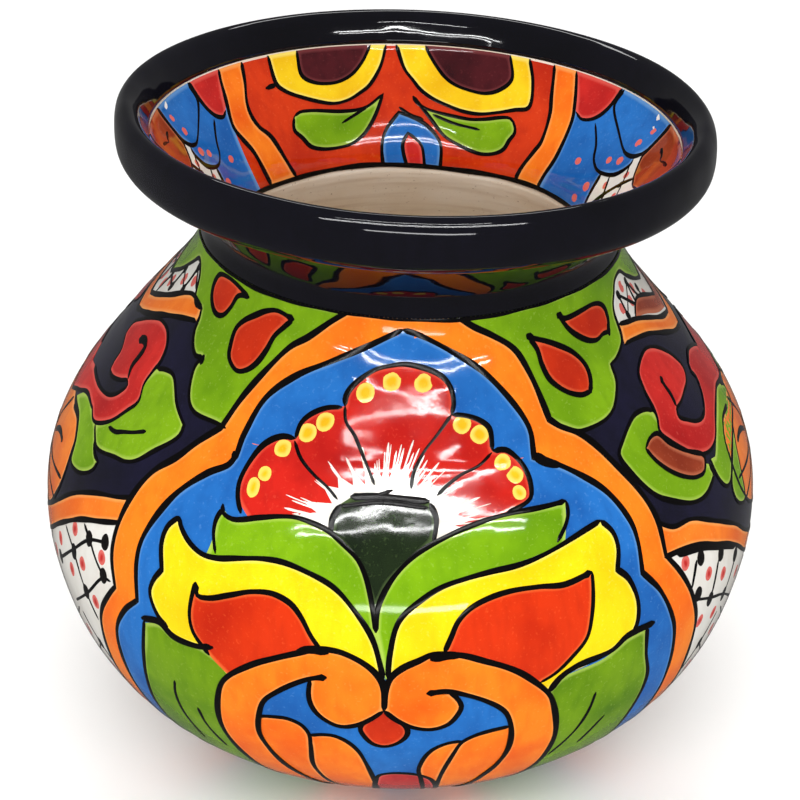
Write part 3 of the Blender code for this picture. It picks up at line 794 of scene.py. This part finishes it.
KNOTS = ((-50.9, 81), (-55.3, 83.7), (-60.1, 92.5), (-50.4, 91), (-56.1, 101.7), (-67, 101.3),
         (51.9, 86.7), (58, 91), (50.9, 97.3), (55, 103.3), (61.2, 108.3), (64.1, 97.7))
WEBS = ([(-57.5, 81), (-55.2, 83.7), (-52.5, 88.3), (-50.4, 91)],
        [(-64, 87.7), (-60.2, 92.3), (-57.5, 98.3), (-53.4, 109)],
        [(-51, 81), (-55.2, 84), (-60.2, 91.7), (-66.5, 101)],
        [(-48.4, 91), (-50.4, 91.7), (-55.6, 101.7), (-62.5, 112)], [(50.7, 86.3), (49, 94)],
        [(57.1, 92), (55.3, 102)],
        [(50.3, 98.6), (54.8, 102.6), (60.7, 107.7), (68.9, 118)], [(63.9, 99), (61.6, 107.6)])
SPOTS = ((-51.2, 86), (-60.3, 85.3), (-56.9, 93.3), (-66.5, 94.6), (-61.2, 99.5), (-53.1, 102.3),
         (47.9, 84.9), (53.9, 93.5), (59, 98.7), (52.9, 109), (58.2, 111.7), (66.6, 106.3))
for angle, run in KNOTS:
    dot("black line", 3, angle, run, 1.9, 2.5)
for web in WEBS:
    line(web, 1.3, level=2)
for angle, run in SPOTS:
    dot("lattice red", 2, angle, run, 1.9, 2.3)
line([(46.4, 81), (53.7, 85), (57.5, 88.2), (63.9, 94.4)], 2.4, level=4)
# The lattice goes on round the hidden part of the belly in the same slanting rows
ROW, HALF_MESH = 9.6, 4.6
for side, low in ((-1, BELT_LEFT_LOW), (1, BELT_RIGHT_LOW)):
    belt = np.array(low)[:, :2]

    def below_belt(angle, run):
        return run > np.interp(angle, abs(belt[:, 0]), belt[:, 1]) + 0.8 and (angle > 69 or run > 113)

    for row in range(11):
        run = 93 + row * ROW
        for column in range(5):
            angle = 56.6 + (0 if row % 2 else HALF_MESH) + column * 2 * HALF_MESH
            if angle < 90.5 and below_belt(angle, run - 3) and run < FOOT - 5:
                dot("black line", 3, side * angle, run, 1.7, 2.2)
            for step in (-HALF_MESH, HALF_MESH):
                web = [(angle + step * t, run + ROW * t) for t in np.linspace(0, 1, 7)]
                web = [(side * a, r) for a, r in web if a < 90.6 and below_belt(a, r) and r < FOOT - 4]
                if len(web) > 2:
                    line(web, 1.15, level=2)
            if angle < 90.5 and below_belt(angle, run + ROW - 4) and run + ROW < FOOT - 4:
                dot("lattice red", 2, side * angle, run + ROW, 1.8, 2.2)

# ---------------------------------------------------------------------------------------------
# Inside the mouth: (angle from the middle of the back, run down from the lip)
# ---------------------------------------------------------------------------------------------

def mouth_field(colour, level, outline, **more):
    field(colour, level, outline, wall=inside, **more)


def mouth_line(points, width=1.2, level=3, **more):
    line(points, width, level=level, wall=inside, **more)


TOP, GLAZE_END = -1.6, 37.8        # the painting starts under the roll and ends at the throat
ARC_LEFT, ARC_RIGHT, SQUEEZE = 52.8, 41.3, 0.764
ARC_L_OUT = [(-52.8, TOP), (-53.7, 2.3), (-55.3, 7.8), (-57.8, 16), (-56.6, 20.7), (-54.5, 25.7),
             (-51.2, 37)]
ARC_L_IN = [(-45.3, TOP), (-46.6, 4.4), (-49.1, 10.7), (-49.7, 14.8), (-48.7, 19), (-45.8, 23.2),
            (-40.2, 37)]
ARC_R_IN = [(35.1, TOP), (38, 8.6), (40.1, 14), (41.8, 23.2), (40.9, 26.5), (38, 33.6), (36.8, 37)]
ARC_R_OUT = [(41.3, TOP), (45.5, 8.6), (47.6, 13.6), (49.3, 26), (47.6, 32.8), (45.9, 37)]
for one, other in ((ARC_L_OUT, ARC_L_IN), (ARC_R_IN, ARC_R_OUT)):
    mouth_field("scroll orange", 3, strip_between(one, other))
    mouth_line(one, 1.3, level=4)
    mouth_line(other, 1.3, level=4)

CRESCENT_L = [(-37.4, TOP), (-37.8, 7.8), (-36.2, 10.3), (-33.7, 12.3), (-25.3, 16.3), (-21.6, 16.9),
              (-17.8, 16), (-14.5, 14), (-12, 11.9), (-8.7, 5.7), (-7, TOP)]
MAROON_L = [(-29.5, TOP), (-29.9, 6.5), (-27, 9.4), (-22.8, 10.3), (-19.5, 9.8), (-16.2, 7.8),
            (-13.3, 4), (-10.8, TOP)]
CRESCENT_R = [(-4.5, TOP), (-2.4, 6.5), (-0.3, 9.8), (2.2, 13.2), (5.5, 15.7), (10.5, 17.8), (14.7, 19),
              (19.7, 19.2), (24.7, 17.8), (29.7, 15.7), (33.2, 14), (31.3, 5.7), (28.4, TOP)]
MAROON_R = [(2.6, TOP), (3.8, 1.5), (8, 8.2), (11.3, 10.7), (15.5, 12), (19.7, 12.3), (23, 10.7),
            (25.6, 6.2), (23.4, TOP)]
for colour, level, shape in (("mouth yellow", 2, CRESCENT_L), ("mouth yellow", 2, CRESCENT_R),
                             ("maroon", 3, MAROON_L), ("maroon", 3, MAROON_R)):
    mouth_field(colour, level, ends_sharp(shape))
    mouth_line(shape, 1.2, level=4)
mouth_line([(-41.4, 8.2), (-37.8, 8.0)], 1.5, start=1.6, level=4)

for leaf, vein in (
                   ([(-35.8, 19), (-33.7, 18), (-30.3, 18.1), (-21.2, 19.6), (-16.2, 19.6),
                     (-12.8, 18.6), (-8.3, 14.8, 1), (-10.3, 20.7), (-12, 24), (-14.5, 27.3),
                     (-18.7, 30), (-22.8, 30.7), (-28.7, 30.5), (-32.8, 29), (-34.9, 26), (-37, 22.8)],
                    [(-21.2, 23.4), (-16.6, 21), (-12.7, 18.6)]),
                   ([(0.1, 15.3, 1), (1.3, 17.3), (4.7, 19.4), (17.2, 21.3), (21.3, 20.7), (29.3, 18.8),
                     (31.3, 20.7), (32.2, 22.8), (31.3, 25.7), (30.5, 28.6), (28, 30.5), (23.8, 31.5),
                     (19.7, 31), (14.7, 29.4), (10.5, 27.3), (5.5, 21.9)],
                    [(21.3, 24.2), (13, 23.2), (6.3, 21)])):
    mouth_field("corner green", 2, leaf)
    mouth_line(leaf + [leaf[0]], 1.2)
    mouth_line(vein, 1.0, start=1.2)
mouth_line([(-3.7, 19), (-0.3, 21.5), (3.8, 22.8)], 1.1)

ARCH = [(-8.7, GLAZE_END), (-9.1, 32.8), (-8.7, 29.4), (-7.4, 26), (-3.7, 20.7, 1), (0.5, 22.3),
        (4.7, 24.4), (9.7, 29.8), (10.3, GLAZE_END)]
ARCH_DROP = [(-0.7, GLAZE_END), (-2, 33.6), (-2.2, 30.3), (-0.7, 27.3, 1), (1.3, 28.6), (3.8, 31),
             (5.1, GLAZE_END)]
mouth_field("blue ground", 1, ends_sharp(ARCH))
mouth_field("rose red", 2, ends_sharp(ARCH_DROP))
mouth_line(ARCH, 1.2)
mouth_line(ARCH_DROP, 1.1)

# Past the arcs: blue petals round a rose half-disc, a lattice, and a brown motif at the side
for side in (-1, 1):
    def across(points):
        """The right side as drawn; the left one is squeezed, as its arc stands further out."""
        if side > 0:
            return points
        return [(-(ARC_LEFT + (p[0] - ARC_RIGHT) * SQUEEZE), *p[1:]) for p in points]

    mouth_field("lattice white", 1, across([(72, TOP, 1), (90, TOP, 1), (90, GLAZE_END, 1),
                                            (66, GLAZE_END, 1)]), smooth=False)
    mouth_field("blue ground", 2, across([
        (44, TOP, 1), (79.5, TOP, 1), (79.9, 5), (79.5, 9.4), (77.7, 12.6, 1), (79, 15), (78.6, 17.3),
        (76.4, 20.3), (70.6, 23.2, 1), (71, 28), (70, GLAZE_END, 1), (46, GLAZE_END, 1), (49, 22)]))
    mouth_field("rose red", 3, across([(41, TOP, 1), (55.9, TOP, 1), (55.5, 5.7), (54.3, 9.4),
                                       (52.2, 11.5), (49.7, 12.1), (47.2, 10.7), (44.7, 6)]))
    mouth_line(across([(55.9, TOP), (55.5, 5.7), (54.3, 9.4), (52.2, 11.5), (49.7, 12.1),
                       (47.2, 10.7)]), 1.2, level=4)
    mouth_line(across([(56.6, TOP), (56.8, 4.4), (65, 10.7), (71.8, 13.7), (75, 13.6), (77.7, 12.3),
                       (79.6, 9.4), (79.5, TOP)]), 1.2)
    mouth_line(across([(55, 11.5), (60.5, 17.3), (63.2, 21), (66.4, 22.8), (69.5, 23), (76.4, 20.3),
                       (79, 14.8), (78.2, 13.2)]), 1.2)
    mouth_line(across([(70.5, 23.2), (71, 28), (70, GLAZE_END)]), 1.2)
    for angle, run, big in ((75.2, 3.6, 1.2), (74.1, 9, 1.4), (73.4, 16.5, 1.4), (69.1, 18.6, 1.2),
                            (67.5, 29, 1.5), (64.3, 34, 1.3), (58, 24, 1.2)):
        dot("lattice red", 3, across([(angle, run)])[0][0], run, big, big, wall=inside)
    for angle, run in ((81.6, 17.6), (76, 24.6), (77, 32), (84.6, 24.4), (87.8, 32), (82.4, 32.6)):
        dot("lattice red", 2, across([(angle, run)])[0][0], run, 1.2, 1.3, wall=inside)
    for web in ([(79, 15), (83.6, 20), (87.8, 25.6), (90, 29)], [(74.4, 21.4), (78.6, 27), (82.6, 34)],
                [(86.6, 16), (82.6, 21), (77.6, 28), (72, 35)], [(90, 22), (87, 27), (83, 33)]):
        mouth_line(across(web), 1.0, level=2)
    for angle, run in ((83, 20.6), (78.4, 27), (87.6, 26), (82.6, 33)):
        dot("black line", 3, across([(angle, run)])[0][0], run, 1.1, 1.2, wall=inside)
    mouth_field("brown petal", 3, across([(80, TOP, 1), (80.2, 8), (80.5, 10.7, 1), (83.2, 13.6),
                                          (85.9, 15.7), (90, 17, 1), (90, TOP, 1)]))
    mouth_line(across([(80, TOP), (80.2, 8), (80.5, 10.7), (83.2, 13.6), (85.9, 15.7), (90, 17)]), 1.2,
               level=4)
    mouth_line(across([(84.5, 4.8), (87.5, 5.2), (90, 6.3)]), 1.4, start=1.6, level=4)

# A brushed line closes the painting at the throat and at the neck
for wall, run, width in ((inside, GLAZE_END - 0.5, 1.6), (outside, 0.0, 1.7)):
    line([(a, run + 0.3 * math.sin(a * 0.11)) for a in range(-90, 91, 15)], width, level=5, wall=wall)


# ---------------------------------------------------------------------------------------------
# Glazes and clay
# ---------------------------------------------------------------------------------------------

def shade(red, green, blue):
    """A colour given in ordinary 0-255 values, as light values."""
    return tuple((c / 255 / 12.92) if c <= 10 else ((c / 255 + 0.055) / 1.055) ** 2.4
                 for c in (red, green, blue)) + (1.0,)


class Recipe:
    """Builds a material node by node."""

    def __init__(self, name):
        self.material = bpy.data.materials.new(name)
        self.material.use_nodes = True
        self.tree = self.material.node_tree
        self.tree.nodes.clear()
        self.out = self.add("ShaderNodeOutputMaterial")
        self.shader = self.add("ShaderNodeBsdfPrincipled")
        self.join(self.shader, "BSDF", self.out, "Surface")
        self.place = self.add("ShaderNodeTexCoord")

    def add(self, kind, **settings):
        node = self.tree.nodes.new(kind)
        for key, value in settings.items():
            setattr(node, key, value)
        return node

    def join(self, source, out, target, socket):
        self.tree.links.new(source.outputs[out], target.inputs[socket])

    def noise(self, size, detail=2.0, stretch=(1, 1, 1)):
        """Noise with features of about `size` millimetres."""
        turn = self.add("ShaderNodeMapping")
        turn.inputs["Scale"].default_value = stretch
        self.join(self.place, "Object", turn, "Vector")
        noise = self.add("ShaderNodeTexNoise")
        noise.inputs["Scale"].default_value = 1000.0 / size
        noise.inputs["Detail"].default_value = detail
        self.join(turn, "Vector", noise, "Vector")
        return noise

    def spread(self, source, out, low, high, to_low=0.0, to_high=1.0):
        """Carries what lies from low to high over to the range from to_low to to_high."""
        change = self.add("ShaderNodeMapRange")
        for key, value in (("From Min", low), ("From Max", high), ("To Min", to_low),
                           ("To Max", to_high)):
            change.inputs[key].default_value = value
        self.join(source, out, change, "Value")
        return change

    def blend(self, amount, under, over):
        """Mixes two colours; each is a colour or an earlier node."""
        mix = self.add("ShaderNodeMix", data_type="RGBA")
        self.tree.links.new(amount.outputs["Result"], mix.inputs[0])
        for socket, colour in ((6, under), (7, over)):
            if isinstance(colour, tuple):
                mix.inputs[socket].default_value = colour
            else:
                self.tree.links.new(colour.outputs[2], mix.inputs[socket])
        return mix

    def finish(self, colour, bumps):
        """Gives the shader its colour, and its bumps as (noise, strength, depth in metres)."""
        self.tree.links.new(colour.outputs[2], self.shader.inputs["Base Color"])
        last = None
        for noise, strength, depth in bumps:
            bump = self.add("ShaderNodeBump")
            bump.inputs["Strength"].default_value = strength
            bump.inputs["Distance"].default_value = depth
            self.join(noise, "Fac" if "Fac" in noise.outputs else 0, bump, "Height")
            if last:
                self.join(last, "Normal", bump, "Normal")
            last = bump
        self.join(last, "Normal", self.shader, "Normal")
        return self.material


def glossy_glaze(name, colour, deep, thin, rough=0.06, brushed=0.5, flow_size=20.0, gloss=0.5,
                 wavy=0.0007):
    """Brushed glaze: it pools darker, shows the brush, and runs thin and pale along its edge.
    `brushed` is how strongly the strokes show, `flow_size` the size of the pools in millimetres,
    `gloss` how much it mirrors, and `wavy` how deep the glaze's own waves are, in metres."""
    mix = Recipe(name)
    flow, brush = mix.noise(flow_size, 3), mix.noise(3.2, 2, (1, 1, 0.22))
    grain = mix.noise(0.9, 1)
    pooled = mix.blend(mix.spread(flow, "Fac", 0.42, 0.72), shade(*colour), shade(*deep))
    strokes = mix.blend(mix.spread(brush, "Fac", 0.45, 0.8, 0.0, brushed), pooled, shade(*deep))
    lighter = mix.blend(mix.spread(grain, "Fac", 0.62, 0.8, 0.0, 0.25), strokes, shade(*thin))
    edge = mix.add("ShaderNodeAttribute", attribute_name="edge")
    rim = mix.blend(mix.spread(edge, "Fac", 0.4, 1.0, 0.7, 0.0), lighter, shade(*thin))
    mix.shader.inputs["IOR"].default_value = 1.52
    mix.shader.inputs["Specular IOR Level"].default_value = gloss
    wear = mix.spread(mix.noise(9.0, 2), "Fac", 0.3, 0.75, rough * 0.75, rough * 1.5)
    mix.join(wear, "Result", mix.shader, "Roughness")
    return mix.finish(rim, [(mix.noise(30.0, 1), 0.4, wavy), (mix.noise(9.0, 1), 0.3, 0.0003),
                            (brush, 0.12, 0.0001), (grain, 0.06, 0.00004)])


GLAZES = {
    "orange border": ((253, 132, 26), (240, 100, 14), (255, 178, 96)),
    "orange band": ((250, 130, 34), (232, 100, 20), (255, 178, 100)),
    "scroll orange": ((253, 130, 26), (236, 92, 12), (255, 172, 92)),
    "flower orange": ((246, 132, 40), (228, 100, 26), (255, 176, 104)),
    "blue ground": ((36, 112, 192), (22, 84, 160), (110, 162, 216)),
    "petal red": ((208, 34, 22), (170, 18, 14), (236, 92, 66)),
    "rose red": ((204, 40, 34), (166, 22, 22), (232, 96, 84)),
    "rose-red petal": ((196, 52, 50), (166, 32, 34), (230, 110, 100)),
    "red drop": ((204, 50, 14), (172, 32, 10), (234, 104, 60)),
    "red-orange heart": ((214, 52, 10), (186, 34, 6), (240, 112, 50)),
    "mouth yellow": ((246, 206, 24), (232, 176, 10), (252, 232, 120)),
    "yellow leaf": ((250, 218, 14), (240, 192, 6), (254, 238, 120)),
    "yellow dots": ((244, 196, 22), (232, 160, 14), (252, 222, 110)),
    "leaf green": ((128, 176, 14), (98, 146, 8), (182, 208, 90)),
    "lower leaf green": ((112, 152, 14), (78, 120, 6), (172, 198, 88)),
    "corner green": ((126, 170, 16), (96, 140, 8), (182, 206, 92)),
    "calyx green": ((30, 44, 20), (14, 24, 12), (84, 104, 60)),
    "maroon": ((74, 20, 26), (44, 10, 16), (120, 54, 56)),
    "brown petal": ((160, 66, 34), (128, 44, 22), (200, 116, 80)),
    "dark ground": ((20, 18, 42), (10, 9, 22), (44, 42, 72)),
    "lattice white": ((236, 233, 226), (222, 216, 206), (246, 244, 240)),
    "white rays": ((240, 236, 226), (226, 214, 200), (250, 248, 242)),
    "lattice red": ((200, 40, 36), (170, 24, 24), (232, 120, 110)),
}
finishes = {name: glossy_glaze(name, *colours) for name, colours in GLAZES.items()}
finishes["black line"] = glossy_glaze("black brush line", (11, 9, 9), (5, 4, 5), (22, 18, 16),
                                      rough=0.12, gloss=0.15)
finishes["navy glaze"] = glossy_glaze("navy glaze", (9, 8, 17), (4, 4, 8), (20, 20, 36), rough=0.045,
                                      flow_size=40.0, wavy=0.004)
finishes["mouth ground"] = glossy_glaze("mouth ground", (212, 58, 16), (180, 34, 10), (238, 110, 56))


def bare_clay(name):
    """Cream earthenware: dusty, with darker grit, pores and turning marks."""
    mix = Recipe(name)
    cloud, grit, pores = mix.noise(26.0, 4), mix.noise(1.1, 2), mix.noise(0.5, 1)
    rings = mix.noise(2.4, 2, (0.08, 0.08, 1))
    warm = mix.blend(mix.spread(cloud, "Fac", 0.35, 0.7), shade(250, 240, 224), shade(236, 218, 194))
    ringed = mix.blend(mix.spread(rings, "Fac", 0.5, 0.75, 0.0, 0.35), warm, shade(198, 172, 142))
    gritty = mix.blend(mix.spread(grit, "Fac", 0.68, 0.76, 0.0, 0.7), ringed, shade(150, 116, 88))
    mix.shader.inputs["Roughness"].default_value = 0.82
    return mix.finish(gritty, [(rings, 0.25, 0.0004), (grit, 0.3, 0.00015), (pores, 0.3, 0.0001)])


finishes["bare clay"] = bare_clay("bare clay")


def settle(piece, finish, slot, *nodes):
    """Gives a piece its finish and hides the nodes that it stands for; `slot` is not used."""
    piece.name = piece.data.name = piece.name.replace(" ", "_")
    piece.data.materials.clear()
    piece.data.materials.append(finishes[finish])
    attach(piece, "root")
    if nodes:
        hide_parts(*nodes)


# ---------------------------------------------------------------------------------------------
# The vase: clay, undercoats, rim, and the painting
# ---------------------------------------------------------------------------------------------

body_line = curve_through(BODY, 2.2)
neck_line = curve_through(NECK, 1.6)
mouth_line_points = curve_through(FUNNEL, 1.5)
rim_line = curve_through(RIM, 0.9)

SKIN = 0.05                # the clay stays this far behind a coat
ROLL_UNDERSIDE = 188.2     # the mouth's coat starts under the roll
deep_mouth = behind_line(mouth_line_points, -COAT - SKIN)
mouth_runs = np.interp(mouth_line_points[:, 1], inside.line[::-1, 1], inside.run[::-1])
clay_mouth = np.where((mouth_runs < GLAZE_END + 0.4)[:, None], deep_mouth, mouth_line_points)
inner_wall = behind_line(body_line, WALL)
inner_wall = inner_wall[(inner_wall[:, 1] < 148) & (inner_wall[:, 1] > 7.2)]
clay = np.vstack([[(0, 0), (20, 0), (49.4, 0), (50.2, 0.6)], behind_line(body_line, COAT + SKIN)[::-1],
                  behind_line(neck_line, COAT + SKIN)[::-1][1:], clay_mouth[1:], inner_wall,
                  [(30, FLOOR_IN + 0.1), (0, FLOOR_IN)]])
settle(turned("clay wall", clay, closed=False), "bare clay", "bisque_bowl", "foot_slab", "lower_bowl",
       "upper_shoulder", "neck_collar", "rim_coil")

glazed_mouth = mouth_line_points[(mouth_runs < GLAZE_END) & (mouth_line_points[:, 1] < ROLL_UNDERSIDE)]
settle(turned("body undercoat", coat_outline(BODY, 2.2, COAT), closed=True), "dark ground",
       "painted_shoulder_glaze", "bowl_glaze", "shoulder_glaze")
settle(turned("neck glaze", coat_outline(NECK, 1.6, COAT), closed=True), "navy glaze",
       "dark_neck_glaze", "neck_glaze")
settle(turned("rolled rim", np.vstack([rim_line, [(77.8, 183.6)]]), closed=True), "navy glaze",
       "dark_rim_glaze", "rim_glaze")
settle(turned("mouth glaze", np.vstack([glazed_mouth, behind_line(glazed_mouth, -COAT)[::-1]]),
              closed=True), "mouth ground", "painted_funnel_glaze", "funnel_glaze")

for (colour, part), paint in paints.items():
    piece = paint.piece(f"{colour} {part}".strip())
    where = "painted_shoulder_glaze"
    if "lower" in colour or "scroll" in colour:
        where = "painted_bowl_glaze"
    if colour in ("mouth yellow", "maroon") or part == "mouth":
        where = "painted_funnel_glaze"
    settle(piece, colour, where)

# ---------------------------------------------------------------------------------------------
# Floor, light and camera
# ---------------------------------------------------------------------------------------------

bpy.ops.object.select_all(action="DESELECT")
bpy.ops.mesh.primitive_plane_add(size=12.0, location=(0, 0, 0))
floor = bpy.context.object
floor.name = "floor"
floor_paper = bpy.data.materials.new("pale floor")
floor_paper.use_nodes = True
paper = floor_paper.node_tree.nodes["Principled BSDF"]
paper.inputs["Base Color"].default_value = (0.95, 0.95, 0.94, 1)
paper.inputs["Roughness"].default_value = 0.6
paper.inputs["Emission Color"].default_value = (1, 1, 1, 1)
paper.inputs["Emission Strength"].default_value = 0.06
floor.data.materials.append(floor_paper)
floor.visible_glossy = False


def soft_light(name, azimuth, elevation, reach, width, height, power):
    """A rectangular light at that side and height that looks at the middle of the vase."""
    a, e = math.radians(azimuth), math.radians(elevation)
    spot = Vector((math.sin(a) * math.cos(e), -math.cos(a) * math.cos(e), math.sin(e))) * reach
    lamp = bpy.data.lights.new(name, "AREA")
    lamp.shape = "RECTANGLE"
    lamp.size, lamp.size_y, lamp.energy = width, height, power
    light = bpy.data.objects.new(name, lamp)
    light.location = spot + Vector((0, 0, 0.1))
    light.rotation_euler = (-spot).to_track_quat("-Z", "Y").to_euler()
    bpy.context.collection.objects.link(light)
    return light


# Thin strips leave the streaks of shine: (name, azimuth, elevation, reach, width, height, power)
for strip in (("upper strip", 2, 51.6, 0.8, 0.52, 0.006, 0.5),
              ("middle strip", 4, 42.4, 0.8, 1.0, 0.010, 1.5),
              ("lower strip", 4, 39.2, 0.8, 0.95, 0.008, 1.0), ("low glow", 3, 8, 1.6, 0.9, 0.10, 3.0),
              ("back strip", 180, 58, 1.2, 0.9, 0.1, 2.2)):
    soft_light(*strip)


def fill(name, azimuth, elevation, strength):
    """Broad light that brightens the colours and leaves no shine of its own in the glaze."""
    a, e = math.radians(azimuth), math.radians(elevation)
    lamp = bpy.data.lights.new(name, "SUN")
    lamp.energy, lamp.angle = strength, math.radians(100)
    light = bpy.data.objects.new(name, lamp)
    toward = Vector((math.sin(a) * math.cos(e), -math.cos(a) * math.cos(e), math.sin(e)))
    light.rotation_euler = toward.to_track_quat("Z", "Y").to_euler()
    light.visible_glossy = False
    bpy.context.collection.objects.link(light)


for name, azimuth, elevation, strength in (("front fill", -12, 50, 1.35), ("left fill", -100, 45, 0.45),
                                           ("right fill", 100, 45, 0.45), ("back fill", 175, 55, 1.0)):
    fill(name, azimuth, elevation, strength)

world = bpy.data.worlds.new("pale room")
world.use_nodes = True
world.node_tree.nodes["Background"].inputs["Color"].default_value = (1, 1, 1, 1)
world.node_tree.nodes["Background"].inputs["Strength"].default_value = 0.15
bpy.context.scene.world = world
bpy.context.scene.view_settings.view_transform = "Standard"

# The camera looks down at the middle of the vase
DISTANCE, ELEVATION, AIM = 0.648, math.radians(28.3), 0.1007
LENS, FILM_WIDTH = 95.98, 36.0
lens = bpy.data.cameras.new("camera")
lens.lens, lens.sensor_width = LENS, FILM_WIDTH
camera = bpy.data.objects.new("camera", lens)
camera.location = (0, -DISTANCE * math.cos(ELEVATION), AIM + DISTANCE * math.sin(ELEVATION))
camera.rotation_euler = (math.pi / 2 - ELEVATION, 0, 0)
bpy.context.collection.objects.link(camera)
bpy.context.scene.camera = camera
